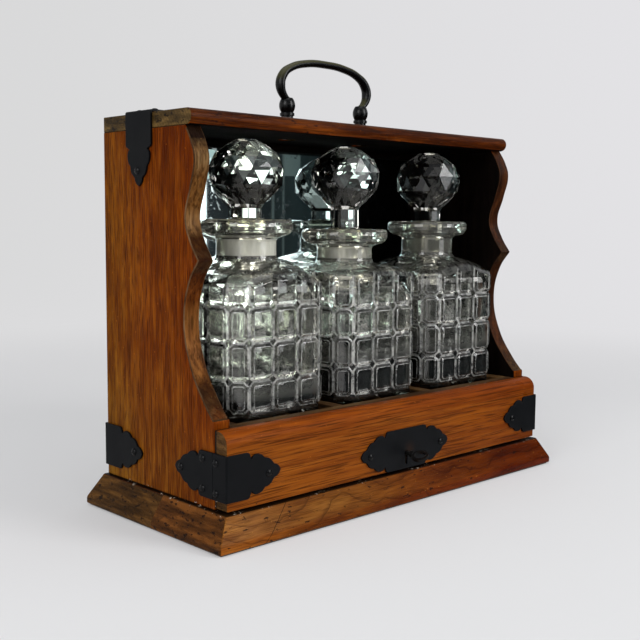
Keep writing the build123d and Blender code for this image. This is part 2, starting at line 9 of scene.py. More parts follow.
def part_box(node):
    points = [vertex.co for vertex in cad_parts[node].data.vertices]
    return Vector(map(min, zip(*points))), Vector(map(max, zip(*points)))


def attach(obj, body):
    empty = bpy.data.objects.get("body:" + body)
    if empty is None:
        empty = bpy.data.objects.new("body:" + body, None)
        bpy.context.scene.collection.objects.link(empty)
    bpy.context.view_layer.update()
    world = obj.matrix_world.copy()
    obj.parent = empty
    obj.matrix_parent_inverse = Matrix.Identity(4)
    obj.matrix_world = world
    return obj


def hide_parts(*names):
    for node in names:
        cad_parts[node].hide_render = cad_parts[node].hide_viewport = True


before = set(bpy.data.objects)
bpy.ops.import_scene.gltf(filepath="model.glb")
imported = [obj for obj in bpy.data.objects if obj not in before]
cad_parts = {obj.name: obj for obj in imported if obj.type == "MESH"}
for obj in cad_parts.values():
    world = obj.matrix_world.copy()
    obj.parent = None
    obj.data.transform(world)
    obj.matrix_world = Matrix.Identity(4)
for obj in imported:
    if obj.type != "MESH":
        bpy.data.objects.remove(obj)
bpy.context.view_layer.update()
MM = 0.001
X, Y, Z = (1, 0, 0), (0, 1, 0), (0, 0, 1)

# Sizes in millimetres, as in the CAD source.
HALF_W, BOARD_T = 169.8, 12.7
SIDE_FRONT_Y, BACK_Y, BACK_T = -58.1, 70.2, 8.0
PLINTH_W, PLINTH_D, PLINTH_EDGE, PLINTH_TOP, PLINTH_JOINT_Y = 365.0, 161.0, 6.0, 23.0, -4.0
CANT_X, CANT_Y, BAIZE_T = 10.5, 7.3, 1.0
TOP_UNDER, TOP_T, TOP_NOSE_Y = 272.0, 10.85, -34.9
PANEL_FACE_Y, PANEL_BACK_Y, PANEL_BOTTOM, PANEL_TOP, PANEL_ROUND = -70.9, -58.3, 24.75, 76.2, 9.0
IRON_T, STRAP_Z, STRAP_HALF, TOP_STRAP_Y = 1.6, 46.0, 15.4, 24.0
TOP_REACH, BACK_REACH, FRONT_REACH, SIDE_REACH = 49.5, 47.0, 44.5, 41.5  # corner to point
PLATE_REACH, PLATE_T = 48.8, 1.4
LOCK_X, PLATE_Z, KEY_Z, BOLT_Y0, BOLT_Y1 = 1.5, 40.2, 36.5, -54.5, -51.5
HANDLE_Y, POST_X = 18.2, 40.2
PITCH, DECANTER_Y = 99.8, -5.1
GLASS_HALF, GLASS_CANT, GLASS_BOTTOM = 44.5, 11.3, 70.2
SIDES = {"left": -PITCH, "middle": 0.0, "right": PITCH}
NECK_BASE = {"left": 182.5, "middle": 178.5, "right": 181.5}
LIP_TOP = {"left": 211.3, "middle": 204.4, "right": 210.6}
PEG_TOP, PEG_END = 14.3, 12.8     # radii of the stopper's ground peg
GROOVES = {"left": (80.0, 102.0, 128.2, 152.4), "middle": (80.3, 102.7, 125.0, 146.1),
           "right": (80.0, 102.0, 127.4, 151.0)}

# The photograph's view: from the front left, a little above the middle.
VIEW_PLACE, VIEW_AHEAD = (-0.55403, -0.55743, 0.21235), (0.687475, 0.719000, -0.102061)
VIEW_ROLL, VIEW_LENS, VIEW_SENSOR = 0.451, 55.73, 36.0

# How far worn edges are rounded, and the angles up to which they are shaded smooth.
BOARD_EASE, TOP_EASE, PLINTH_EASE, IRON_EASE, PLATE_EASE = 0.7, 0.9, 1.1, 0.3, 0.25
WOOD_ANGLE, IRON_ANGLE = 25, 18


def add(name, data):
    """Puts a new object into the scene."""
    piece = bpy.data.objects.new(name, data)
    bpy.context.scene.collection.objects.link(piece)
    return piece


def set_camera():
    data = bpy.data.cameras.new("photo_view")
    data.lens, data.sensor_width = VIEW_LENS, VIEW_SENSOR
    camera = add("photo_view", data)
    camera.rotation_mode = "QUATERNION"
    turn = (-Vector(VIEW_AHEAD)).to_track_quat("Z", "Y")
    camera.rotation_quaternion = turn @ Quaternion(Z, radians(VIEW_ROLL))
    camera.location = VIEW_PLACE
    bpy.context.scene.camera = camera
    bpy.context.scene.view_settings.view_transform = "Standard"


# ---- material helpers ----
class Finish:
    """A material in the making: its node tree, its shader and its object coordinates."""

    def __init__(self, name):
        self.material = bpy.data.materials.new(name)
        self.material.use_nodes = True
        self.tree = self.material.node_tree
        self.tree.nodes.clear()
        self.shader = self.put("BsdfPrincipled")
        self.output = self.put("OutputMaterial", {"Surface": self.shader.outputs[0]})
        coordinates = self.put("TexCoord").outputs
        self.place, self.normal = coordinates["Object"], coordinates["Normal"]

    def feed(self, node, inputs):
        """Sets a node's inputs to numbers or colours, or links them to other nodes' sockets."""
        for key, value in inputs.items():
            socket = node.inputs[key]
            if isinstance(value, bpy.types.NodeSocket):
                self.tree.links.new(value, socket)
            elif socket.type == "RGBA":
                socket.default_value = (*value, 1)
            else:
                socket.default_value = value

    def put(self, kind, inputs=None, **settings):
        """Adds a shader node."""
        made = self.tree.nodes.new("ShaderNode" + kind)
        for key, value in settings.items():
            setattr(made, key, value)
        self.feed(made, inputs or {})
        return made

    def noise(self, scale, detail=3.0, stretch=(1, 1, 1), roughness=0.55, shift=(0, 0, 0),
              place=None, output="Fac"):
        """Noise from 0 to 1; stretch multiplies the coordinates, so a small one makes streaks."""
        mapped = self.put("Mapping", {"Vector": self.place if place is None else place,
                                      "Location": shift, "Scale": stretch})
        return self.put("TexNoise", {"Vector": mapped.outputs[0], "Scale": scale,
                                     "Detail": detail, "Roughness": roughness}).outputs[output]

    def math(self, operation, *values, clamp=False):
        return self.put("Math", dict(enumerate(values)), operation=operation,
                        use_clamp=clamp).outputs[0]

    def times(self, a, b):
        return self.math("MULTIPLY", a, b)

    def vector(self, operation, *values):
        """Outputs 0 and 1 are the vector and the value."""
        return self.put("VectorMath", dict(enumerate(values)), operation=operation).outputs

    def ramp(self, value, *stops):
        """A colour ramp: stops are (position, colour or grey)."""
        made = self.put("ValToRGB", {"Fac": value})
        elements = made.color_ramp.elements
        while len(elements) < len(stops):
            elements.new(0.5)
        for element, (position, colour) in zip(elements, stops):
            element.position = position
            grey = not hasattr(colour, "__len__")
            element.color = (*((colour,) * 3 if grey else colour), 1)
        return made.outputs["Color"]

    def mix(self, share, a, b, blend="MIX"):
        made = self.put("Mix", data_type="RGBA", blend_type=blend)
        self.feed(made, {0: share, 6: a, 7: b})
        return made.outputs[2]

    def axes(self, vector):
        return self.put("SeparateXYZ", {0: vector}).outputs

    def spread(self, value, start, stop, low=0.0, high=1.0, **settings):
        """Low up to start and high from stop on, with a slope between."""
        return self.put("MapRange", {0: value, 1: start, 2: stop, 3: low, 4: high},
                        **settings).outputs[0]

    def fade(self, axis, start, stop):
        """0 at start and 1 at stop along x, y or z."""
        return self.spread(self.axes(self.place)["xyz".index(axis)], start, stop)

    def surface(self, height, strength, distance, inputs):
        """Sets the shader's inputs and its bumps, and returns the material."""
        bump = self.put("Bump", {"Height": height, "Strength": strength, "Distance": distance})
        self.feed(self.shader, {**inputs, "Normal": bump.outputs[0]})
        return self.material


def along(axis, with_grain, across):
    return [with_grain if way == axis else across for way in "xyz"]


def dim(colour, share):
    return [share * c for c in colour]


# ---- materials ----
GLASS_IOR, GROUND_IOR = 1.54, 1.5
GRIME, DUST = (0.012, 0.005, 0.003), (0.55, 0.47, 0.38)
SEAM_SHADE_AND_DIRT, SPLIT, SPECK, RUST = ((0.004, 0.003, 0.002), (0.006, 0.003, 0.002), (0.006, 0.004, 0.003),
                            (0.045, 0.016, 0.005))


def crack(m, foot, head):
    """1 along a thin wandering split that runs from foot to head, both (x, z)."""
    x, _, z = m.axes(m.place)
    slope = (head[0] - foot[0]) / (head[1] - foot[1])
    line = m.math("MULTIPLY_ADD", z, slope, foot[0] - slope * foot[1])
    sway = m.times(m.noise(180.0, 2.0), 0.0022)
    gap = m.math("ABSOLUTE", m.math("ADD", m.math("SUBTRACT", x, line), sway))
    return m.spread(gap, 0.00045, 0.0002, 0.0, 0.9)


def oak(name, axis, palette, pith, end=None, ring=0.0036, shift=(0, 0, 0), gloss=0.34,
        wander=0.006, figure=0.4, shine=0.12, width=150.0, tints=(), pore=0.5, marks=0.74,
        streaks=(1, 0.5, 2.2), loops=0.0, lively=0.25, seam_shade_and_dust=None, split=None,
        flecks=(62.0, 1450.0), lines=14.0, wave=0.005):
    """Varnished oak cut from a log whose pith runs along axis through the point pith.

    The palette is a light, a middle and a dark tone. Tints multiply the colour more and
    more along a way: (axis, start, stop, colour).
    """
    m, (light, mid, dark) = Finish(name), palette

    def grain(place, detail, with_grain, across, roughness, scale=1.0):
        return m.noise(scale, detail, along(axis, with_grain, across), roughness, shift, place)

    # annual rings, and the small waves that all streaks share
    sway = m.noise(16.0, 3.0, along(axis, lively, 1.0), 0.5, shift, output="Color")
    centred = m.vector("SUBTRACT", sway, (0.5, 0.5, 0.5))[0]
    flat = m.vector("MULTIPLY", m.place, along(axis, 0.03, 1.0))[0]
    swayed = m.vector("MULTIPLY_ADD", centred, (wander,) * 3, flat)[0]
    radius = m.vector("LENGTH", m.vector("SUBTRACT", swayed, pith)[0])["Value"]
    rings = m.math("FRACT", m.math("DIVIDE", radius, ring))
    waved = m.vector("MULTIPLY_ADD", centred, (wave,) * 3, m.place)[0]

    fibre = grain(waved, 4.0, 50.0, 850.0, 0.62)
    patch = grain(m.place, 3.0, 0.6, 1.0, 0.55, 18.0)
    pores = m.ramp(grain(waved, 2.0, *flecks, 0.5), (0.51, 0.0), (0.62, 1.0))
    dents = grain(m.place, 3.0, 130.0, 330.0, 0.6)
    tone = m.ramp(grain(waved, 3.0, lines, width, 0.6), (0.34, light), (0.5, mid), (0.70, dark))
    late = m.ramp(rings, (0.0, 1.0), (0.3, 0.25), (0.7, 0.0), (1.0, 0.6))
    layers = [(m.ramp(patch, (0.42, 0.0), (0.66, 0.36)), dark),
              (m.ramp(patch, (0.32, 0.35), (0.46, 0.0)), light), (m.times(late, figure), dark)]
    if loops:
        line = m.ramp(rings, (0.0, 1.0), (0.14, 0.0))
        layers.append((m.times(line, loops), dim(dark, 0.4)))
    layers += [(m.ramp(fibre, (0.47, 0.0), (0.68, 0.35)), dark),
               (m.ramp(fibre, (0.32, 0.35), (0.46, 0.0)), light)]
    for share, colour in layers:
        tone = m.mix(share, tone, colour)
    for where, start, stop, tint in tints:
        tone = m.mix(m.fade(where, start, stop), tone, tint, "MULTIPLY")

    tone = m.mix(m.times(pores, pore), tone, dim(dark, 0.35))
    tone = m.mix(m.ramp(dents, (marks, 0.0), (marks + 0.03, 0.85)), tone, GRIME)
    nicks = m.noise(520.0, 1.0, shift=shift)
    tone = m.mix(m.ramp(nicks, (0.75, 0.0), (0.775, 0.5)), tone, dim(light, 1.6))
    if end:
        facing_end = m.vector("DOT_PRODUCT", m.normal, along(axis, 1.0, 0.0))["Value"]
        cloud = m.noise(90.0, 4.0, streaks, 0.65, shift)
        cut = m.ramp(cloud, (0.34, dim(end, 0.3)), (0.5, dim(end, 0.85)), (0.64, dim(end, 1.7)))
        ring_share = m.times(m.ramp(rings, (0.0, 1.0), (0.35, 0.0)), 0.5)
        cut = m.mix(ring_share, cut, dim(end, 0.35))
        specks = m.noise(300.0, 3.0, (1, 0.6, 1.2), shift=shift)
        cut = m.mix(m.ramp(specks, (0.58, 0.0), (0.64, 0.85)), cut, SPECK)
        share = m.ramp(m.math("ABSOLUTE", facing_end), (0.55, 0.0), (0.75, 1.0))
        tone = m.mix(share, tone, cut)
    # painted shade and dirt: towards a seam the wood darkens to near black, and pale dust specks lie
    # beside it
    if seam_shade_and_dust:
        where, start, stop = seam_shade_and_dust
        tone = m.mix(m.times(m.fade(where, start, stop), 0.96), tone, SEAM_SHADE_AND_DIRT)
        grains = m.ramp(m.noise(420.0, 2.0), (0.62, 0.0), (0.68, 0.9))
        heaps = m.ramp(m.noise(28.0, 1.0, shift=shift), (0.5, 0.0), (0.58, 1.0))
        near = m.fade(where, 2 * start - stop, start)
        tone = m.mix(m.times(m.times(grains, heaps), near), tone, DUST)
    if split:
        tone = m.mix(crack(m, *split), tone, SPLIT)
    return m.surface(m.math("SUBTRACT", m.times(fibre, 0.5), pores), 0.5, 0.00015, {
        "Base Color": tone, "Specular IOR Level": shine,
        "Roughness": m.ramp(patch, (0.3, gloss - 0.07), (0.7, gloss + 0.12))})


def plain(name, colours, roughness, metallic=0.0, scale=60.0, specular=0.5, upper=None,
          rust=None):
    """Mottled metal or worn wood: two tones, a fine grit and a little relief.

    The upper colour is a painted sheen on what faces up, and rust is the (x, z) of a faint brown
    stain.
    """
    m = Finish(name)
    cloud, fine = m.noise(scale, 4.0), m.noise(900.0, 2.0)
    tone = m.ramp(cloud, (0.35, colours[0]), (0.68, colours[1]))
    tone = m.mix(0.25, tone, m.mix(fine, *colours))
    # painted sheen: what faces up turns towards this colour
    if upper:
        rise = m.axes(m.normal)[2]
        tone = m.mix(m.ramp(rise, (0.1, 0.0), (0.5, 0.9)), tone, upper)
    if rust:
        flat = m.vector("MULTIPLY", m.place, (1, 0, 1))[0]
        away = m.vector("DISTANCE", flat, (rust[0], 0, rust[1]))["Value"]
        share = m.times(m.spread(away, 0.007, 0.001, 0.0, 0.7), cloud)
        tone = m.mix(share, tone, RUST)
    return m.surface(m.math("ADD", fine, cloud), 0.4, 0.0001, {
        "Base Color": tone, "Metallic": metallic, "Specular IOR Level": specular,
        "Roughness": m.ramp(cloud, (0.3, roughness[0]), (0.7, roughness[1]))})


def clear_glass(name, roughness, relief, clear, tints):
    m = Finish(name)
    return m.surface(m.noise(70.0, 1.0), relief, 0.0004, {
        "Base Color": m.ramp(m.noise(20.0, 1.0), (0.3, tints[0]), (0.7, tints[1])),
        "Transmission Weight": clear, "IOR": GLASS_IOR, "Roughness": roughness})


def hazy_shaded_glass():
    """The inside of an old decanter: a little cloudy above, where spirit stood, and near black low
    down by painted shade, reaching higher in the middle and the right one.
    """
    m = Finish("clouded_shaded_glass")
    # painted shade: low down the inside turns near black and less clear, higher up in the middle and
    # the right decanter
    lower = m.times(m.fade("x", -0.055, -0.045), 0.018)
    above = m.spread(m.math("SUBTRACT", m.axes(m.place)[2], lower), 0.086, 0.106)
    cloud = m.noise(260.0)
    share = m.times(above, m.ramp(cloud, (0.35, 0.0), (0.65, 1.0)))
    clear = m.ramp(above, (0.0, 0.35), (0.7, 1.0))
    return m.surface(cloud, 0.22, 0.0005, {
        "Base Color": m.ramp(above, (0.0, 0.02), (0.9, (0.97, 0.97, 0.93))),
        "Transmission Weight": m.math("SUBTRACT", clear, m.times(share, 0.12)),
        "Roughness": m.times(share, 0.06), "IOR": GLASS_IOR})


def groove_glass():
    """The flanks of the cut grooves: satin from the wheel and painted glints, so that they show as
    pale lines.
    """
    m = Finish("groove_glass")
    # painted glints and satin: this noise sets how pale and how clear each stretch of groove is
    worn = m.noise(240.0)
    return m.surface(worn, 0.3, 0.0004, {
        "Base Color": m.ramp(worn, (0.3, (0.88, 0.88, 0.82)), (0.7, (0.99, 0.99, 0.96))),
        "Transmission Weight": m.ramp(worn, (0.35, 0.55), (0.65, 0.92)),
        "IOR": GLASS_IOR, "Roughness": 0.1})


def ground_glass():
    """Ground joint: seen through clear glass it looks like satin silver, darkened towards the right
    by painted shade.
    """
    m = Finish("ground_glass")
    lines = m.noise(1.0, 3.0, (90, 90, 900))
    tone = m.ramp(lines, (0.3, (0.88, 0.86, 0.74)), (0.7, (0.99, 0.97, 0.87)))
    return m.surface(lines, 0.3, 0.0001, {
        # painted shade: the joints darken towards the right decanter
        "Base Color": m.mix(m.fade("x", -0.08, 0.08), tone, (0.25, 0.25, 0.25), "MULTIPLY"),
        "Metallic": 0.9, "Transmission Weight": 0.1, "IOR": GROUND_IOR, "Roughness": 0.13})


def neck_glass():
    """The necks, where the ground joint shows through as a pale haze, made palest in the left one by
    painted light.
    """
    m = Finish("neck_glass")
    cloud = m.noise(1.0, 3.0, (160, 160, 30))
    # painted light: the pale haze is strongest in the left neck and fades to the right
    haze = m.math("SUBTRACT", 0.72, m.times(m.fade("x", -0.09, 0.05), 0.62))
    haze = m.times(haze, m.ramp(cloud, (0.3, 0.75), (0.7, 1.0)))
    return m.surface(cloud, 0.1, 0.0003, {
        "Base Color": m.ramp(cloud, (0.3, (0.80, 0.79, 0.66)), (0.7, (0.97, 0.96, 0.86))),
        "Transmission Weight": m.math("SUBTRACT", 1.0, haze),
        "IOR": GROUND_IOR, "Roughness": 0.06})


def old_mirror():
    """Old silvering: a little dull and spotted, with painted shade that darkens it behind the middle
    and the right.
    """
    m = Finish("old_mirror")
    spots = m.noise(180.0, 4.0)
    tone = m.ramp(m.noise(14.0), (0.3, (0.60, 0.70, 0.70)), (0.7, (0.70, 0.79, 0.77)))
    tone = m.mix(m.ramp(spots, (0.66, 0.0), (0.72, 0.8)), tone, (0.05, 0.045, 0.04))
    # painted shade: darker behind the middle and the right decanters
    tone = m.mix(m.fade("x", -0.02, 0.02), tone, (0.60, 0.67, 0.69), "MULTIPLY")
    m.feed(m.shader, {"Base Color": tone, "Metallic": 1.0,
                      "Roughness": m.ramp(spots, (0.6, 0.02), (0.75, 0.25))})
    return m.material


def felt():
    m = Finish("green_baize")
    nap = m.noise(1400.0)
    return m.surface(nap, 0.6, 0.0003, {
        "Base Color": m.ramp(nap, (0.3, (0.006, 0.018, 0.011)), (0.7, (0.016, 0.045, 0.027))),
        "Roughness": 0.95, "Sheen Weight": 0.3})


# Oak's palettes: a light, a middle and a dark tone.
WARM = (0.31, 0.080, 0.0045), (0.20, 0.042, 0.0016), (0.095, 0.016, 0.001)
GOLD = (0.35, 0.100, 0.008), (0.27, 0.068, 0.005), (0.18, 0.039, 0.003)
OCHRE = (0.29, 0.112, 0.016), (0.195, 0.062, 0.0065), (0.09, 0.023, 0.003)
RED = (0.22, 0.050, 0.004), (0.075, 0.014, 0.0012), (0.03, 0.006, 0.001)
RUSSET = (0.10, 0.029, 0.007), (0.045, 0.0115, 0.0025), (0.014, 0.004, 0.0012)
NEAR_BLACK = (0.010, 0.0055, 0.0038), (0.006, 0.0035, 0.0027), (0.003, 0.002, 0.0017)
WORN = (0.17, 0.095, 0.035), (0.095, 0.045, 0.014), (0.03, 0.013, 0.005)
SCROLL = (0.24, 0.105, 0.026), (0.14, 0.052, 0.010), (0.045, 0.015, 0.004)
BACK = (0.12, 0.052, 0.016), (0.080, 0.031, 0.008), (0.038, 0.013, 0.0035)
# End grain.
TAN, SCROLL_END, TOP_END = (0.15, 0.083, 0.026), (0.06, 0.032, 0.012), (0.095, 0.055, 0.016)
PANEL_END, FRONT_END = (0.088, 0.042, 0.012), (0.12, 0.041, 0.008)
PLINTH_END = (0.088, 0.038, 0.008)

SIDE_TINTS = (("y", 0.02, 0.066, (1.1, 1.5, 1.6)), ("z", 0.12, 0.05, (1.08, 1.4, 2.0)),
              ("y", -0.010, -0.05, (1.0, 0.8, 0.7)), ("z", 0.235, 0.272, (0.85, 0.75, 0.7)))
# The left scroll is dark under the top board, has painted highlights at its bulges, and is dark at
# its point.
SCROLL_TINTS = (("z", 0.238, 0.248, (1.4, 1.9, 3.0)), ("z", 0.256, 0.264, (0.06, 0.053, 0.087)),
                ("z", 0.220, 0.213, (1.6, 2.0, 3.0)), ("z", 0.207, 0.199, (0.18, 0.118, 0.073)),
                ("z", 0.195, 0.186, (0.83, 0.56, 0.65)), ("z", 0.178, 0.166, (3.2, 3.7, 2.16)),
                ("z", 0.158, 0.147, (1.93, 2.8, 4.0)), ("z", 0.110, 0.099, (0.21, 0.165, 0.17)),
                ("z", 0.091, 0.085, (5.0, 3.8, 2.6)))
# The top board has a worn line round its nose and a darker upper side.
TOP_TINTS = (("z", 0.2742, 0.2728, (1.7, 1.6, 1.6)), ("z", 0.279, 0.2825, (0.6, 0.7, 0.7)))
PANEL_TINTS = (("x", 0.0, 0.17, (0.78, 0.64, 0.45)), ("z", 0.062, 0.073, (0.9, 0.75, 0.7)))
# The plinth's front is pale at its left end and reddens to the right.
PLINTH_TINTS = (("x", -0.07, 0.02, (0.8, 0.55, 0.4)), ("x", 0.02, 0.12, (0.54, 0.33, 0.18)),
                ("x", -0.115, -0.165, (1.5, 1.7, 2.6)), ("z", 0.0085, 0.0055, (1.05, 0.8, 0.45)))
# painted shade and dirt along the top of the plinth, where the case stands on it
PLINTH_SEAM = ("z", 0.0222, 0.0228)

side_oak = dict(palette=WARM, end=TAN, ring=0.0085, shine=0.02, width=210.0, pore=0.65,
                lines=25.0, wave=0.010, tints=SIDE_TINTS, seam_shade_and_dust=("z", 0.0243, 0.0235))
oak_side = oak("oak_side", "z", pith=(-0.10, 0.16, 0), **side_oak)
oak_side_right = oak("oak_side_right", "z", pith=(0.09, 0.14, 0), shift=(3, 1, 2), **side_oak)
oak_scroll = oak(
    "oak_scroll", "z", SCROLL, pith=(0, 0.16, 0), end=SCROLL_END, ring=0.004, shift=(1, 1, 5),
    shine=0.03, flecks=(90.0, 700.0), tints=SCROLL_TINTS)
oak_scroll_right = oak(
    "oak_scroll_right", "z", RUSSET, pith=(0, 0.16, 0), end=SCROLL_END, ring=0.004,
    shift=(4, 2, 1), shine=0.06)
oak_top = oak(
    "oak_top", "x", RED, pith=(0, 0.10, 0.20), end=TOP_END, ring=0.0024, shift=(1, 2, 0),
    gloss=0.25, shine=0.05, marks=0.64, lively=0.8, tints=TOP_TINTS)
oak_panel = oak(
    "oak_panel", "x", GOLD, pith=(0, -0.02, -0.045), end=PANEL_END, seam_shade_and_dust=("y", -0.0606, -0.0599),
    ring=0.0065, shift=(0, 5, 1), wander=0.012, shine=0.04, width=300.0, pore=0.75,
    flecks=(26.0, 1250.0), lines=10.0, tints=PANEL_TINTS)
oak_plinth_front = oak(
    "oak_plinth_front", "x", OCHRE, pith=(-0.05, -0.045, -0.06), end=FRONT_END, ring=0.011,
    shift=(4, 0, 3), wander=0.05, figure=0.25, loops=0.6, lively=0.8, shine=0.04, width=80.0,
    pore=0.35, marks=0.64, streaks=(1, 0.3, 2.2), tints=PLINTH_TINTS, seam_shade_and_dust=PLINTH_SEAM,
    split=((-0.1365, 0.0083), (-0.119, 0.0237)))
oak_plinth_back = oak(
    "oak_plinth_back", "x", WARM, pith=(0, 0.05, -0.09), end=PLINTH_END, ring=0.007,
    shift=(2, 7, 3), shine=0.04, streaks=(1, 0.3, 2.2), seam_shade_and_dust=PLINTH_SEAM)
# near-black oak for the inside faces and the hidden parts
near_black_oak = {axis: oak("near_black_oak_" + axis, axis, NEAR_BLACK, pith=(0.4, 0.3, 0.35), gloss=0.65,
                     end=(0.01, 0.007, 0.005), shine=0.02) for axis in "xyz"}
oak_back = oak(
    "oak_back", "x", BACK, pith=(0.05, 0.30, 0.16), ring=0.006, shift=(5, 1, 2), gloss=0.6,
    shine=0.03, wander=0.03, flecks=(26.0, 1000.0), marks=0.7, seam_shade_and_dust=("z", 0.0245, 0.0235))
worn_x = oak("worn_x", "x", WORN, pith=(0, 0.1, 0.2), end=TAN, gloss=0.55)
worn_y = oak("worn_y", "y", WORN, pith=(0.1, 0, 0.2), end=TAN, gloss=0.55)

BLACKENED = (0.0022, 0.0027, 0.0036), (0.0052, 0.0058, 0.0070)
BRONZE = (0.0012, 0.0013, 0.0018), (0.0035, 0.0034, 0.0034)
arris = plain("worn_arris", ((0.004, 0.0015, 0.0005), (0.24, 0.13, 0.06)), (0.4, 0.6),
              scale=40.0, specular=0.03)
arris_right = plain("worn_arris_right", ((0.014, 0.005, 0.0015), (0.07, 0.028, 0.01)),
                    (0.4, 0.6), scale=34.0, specular=0.05)
iron = plain("black_iron", BLACKENED, (0.42, 0.6), specular=0.09)
screw_iron = plain("screw_iron", ((0.0012, 0.0014, 0.0018), (0.004, 0.0042, 0.0048)),
                   (0.16, 0.28), specular=0.16)
lock_iron = plain("lock_iron", BLACKENED, (0.42, 0.6), specular=0.09, rust=(0.005, 0.040))
# the bail's olive top is a painted sheen
bronze = plain("dark_bronze", BRONZE, (0.24, 0.36), specular=0.22, upper=(0.052, 0.050, 0.017))
post_bronze = plain("post_bronze", BRONZE, (0.2, 0.32), specular=0.25)
brass = plain("old_brass", ((0.32, 0.21, 0.07), (0.5, 0.36, 0.15)), (0.3, 0.5), metallic=1.0)
steel = plain("old_steel", ((0.12, 0.115, 0.11), (0.26, 0.25, 0.24)), (0.35, 0.55), metallic=1.0)
dark_key = plain("black_key", ((0.003, 0.003, 0.003), (0.008, 0.0075, 0.007)), (0.3, 0.5),
                 specular=0.15)
glass = clear_glass("cut_glass", 0.01, 0.06, 1.0, ((0.94, 0.93, 0.84), (0.985, 0.975, 0.93)))
lip_glass = clear_glass("lip_glass", 0.05, 0.35, 0.95, ((0.92, 0.90, 0.76), (0.98, 0.97, 0.87)))
ground, clouded_and_shaded, groove, neck_haze_and_light = ground_glass(), hazy_shaded_glass(), groove_glass(), neck_glass()
silver, baize = old_mirror(), felt()


# ---- modelling helpers ----
def only(piece=None):
    """Deselects everything, then makes one piece active and selected."""
    if bpy.context.object and bpy.context.object.mode != "OBJECT":
        bpy.ops.object.mode_set(mode="OBJECT")
    bpy.ops.object.select_all(action="DESELECT")
    bpy.context.view_layer.objects.active = piece
    if piece:
        piece.select_set(True)
    return piece


def pick(piece, kind, rule):
    """In edit mode, selects the verts, edges or faces that rule accepts."""
    mesh = bmesh.from_edit_mesh(piece.data)
    bpy.ops.mesh.select_mode(type=kind)
    bpy.ops.mesh.select_all(action="DESELECT")
    items = {"VERT": mesh.verts, "EDGE": mesh.edges, "FACE": mesh.faces}[kind]
    for item in items:
        if rule(item):
            item.select_set(True)
    mesh.select_flush_mode()
    bmesh.update_edit_mesh(piece.data)


def edit(piece, whole=True):
    """Enters edit mode with everything selected, or nothing."""
    only(piece)
    bpy.ops.object.mode_set(mode="EDIT")
    bpy.ops.mesh.select_mode(type="VERT")
    bpy.ops.mesh.select_all(action="SELECT" if whole else "DESELECT")
    return piece


def done(piece):
    bpy.ops.object.mode_set(mode="OBJECT")
    return piece


def mend(piece, merge=None):
    """Merges vertices that are closer than merge, if given, and turns all faces outwards."""
    edit(piece)
    if merge:
        bpy.ops.mesh.remove_doubles(threshold=merge)
    bpy.ops.mesh.normals_make_consistent(inside=False)
    return done(piece)


def move(piece, rule):
    """Moves the selected vertices to where rule puts them."""
    mesh = bmesh.from_edit_mesh(piece.data)
    for v in mesh.verts:
        if v.select:
            v.co = rule(v.co)
    bmesh.update_edit_mesh(piece.data)


def raise_top(piece, rule):
    """Extrudes the flat top and moves it to where rule puts its vertices."""
    pick(piece, "FACE", lambda f: f.normal.z > 0.99)
    bpy.ops.mesh.extrude_region_move()
    move(piece, rule)


def apply_modifier(piece, kind, **settings):
    only(piece)
    modifier = piece.modifiers.new(kind.lower(), kind)
    for key, value in settings.items():
        setattr(modifier, key, value)
    bpy.ops.object.modifier_apply(modifier=modifier.name)
    return piece


def block(name, x0, x1, y0, y1, z0, z1):
    """A cube added at its size and place, in millimetres."""
    only()
    spans = (x0, x1), (y0, y1), (z0, z1)
    bpy.ops.mesh.primitive_cube_add(size=1, location=[MM * (a + b) / 2 for a, b in spans])
    piece = bpy.context.object
    piece.name, piece.scale = name, [MM * (b - a) for a, b in spans]
    bpy.ops.object.transform_apply(location=True, rotation=True, scale=True)
    return piece


def rod(name, x, y, z0, z1, radius, turn=None, sides=24):
    """A cylinder along Z at x, y; turn stands it along Y, with y0 and y1 given as z0, z1."""
    only()
    middle = (z0 + z1) / 2
    place = (x, middle, y) if turn else (x, y, middle)
    bpy.ops.mesh.primitive_cylinder_add(
        vertices=sides, radius=MM * radius, depth=MM * abs(z1 - z0),
        location=[MM * v for v in place], rotation=(pi / 2 if turn else 0, 0, 0))
    piece = bpy.context.object
    piece.name = name
    bpy.ops.object.transform_apply(location=True, rotation=True, scale=True)
    return piece


def combine(piece, tool, operation="DIFFERENCE"):
    """Cuts tool out of piece, or joins it on."""
    apply_modifier(piece, "BOOLEAN", object=tool, operation=operation, solver="EXACT",
                   material_mode="TRANSFER")
    bpy.data.objects.remove(tool)
    return piece


def smooth(piece, degrees, weighted=False):
    """Smooths rounds and keeps flats flat."""
    only(piece)
    bpy.ops.object.shade_smooth_by_angle(angle=radians(degrees))
    if weighted:
        apply_modifier(piece, "WEIGHTED_NORMAL", keep_sharp=True, weight=100)
    return piece


def finish(piece, body, material, node):
    """Gives a piece its material and its body, and hides the CAD node that it stands for."""
    if material:
        piece.data.materials.clear()
        piece.data.materials.append(material)
    only()
    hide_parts(node)
    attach(piece, body)
    return piece


def stain(piece, material, rule):
    """Gives the faces that rule accepts another finish."""
    piece.data.materials.append(material)
    slot = len(piece.data.materials) - 1
    for face in piece.data.polygons:
        if rule(face):
            face.material_index = slot


def add_spline(data, points):
    """Adds a spline through points of (x, y, z, radius, handle type), in millimetres."""
    spline = data.splines.new("BEZIER")
    spline.bezier_points.add(len(points) - 1)
    for point, (x, y, z, radius, handle) in zip(spline.bezier_points, points):
        point.co, point.radius = (MM * x, MM * y, MM * z), radius
        point.handle_left_type = point.handle_right_type = handle
    return spline


def as_mesh(name, curve, merge):
    """Turns a curve into a clean mesh."""
    only(add(name, curve))
    bpy.ops.object.convert(target="MESH")
    return mend(bpy.context.object, merge)


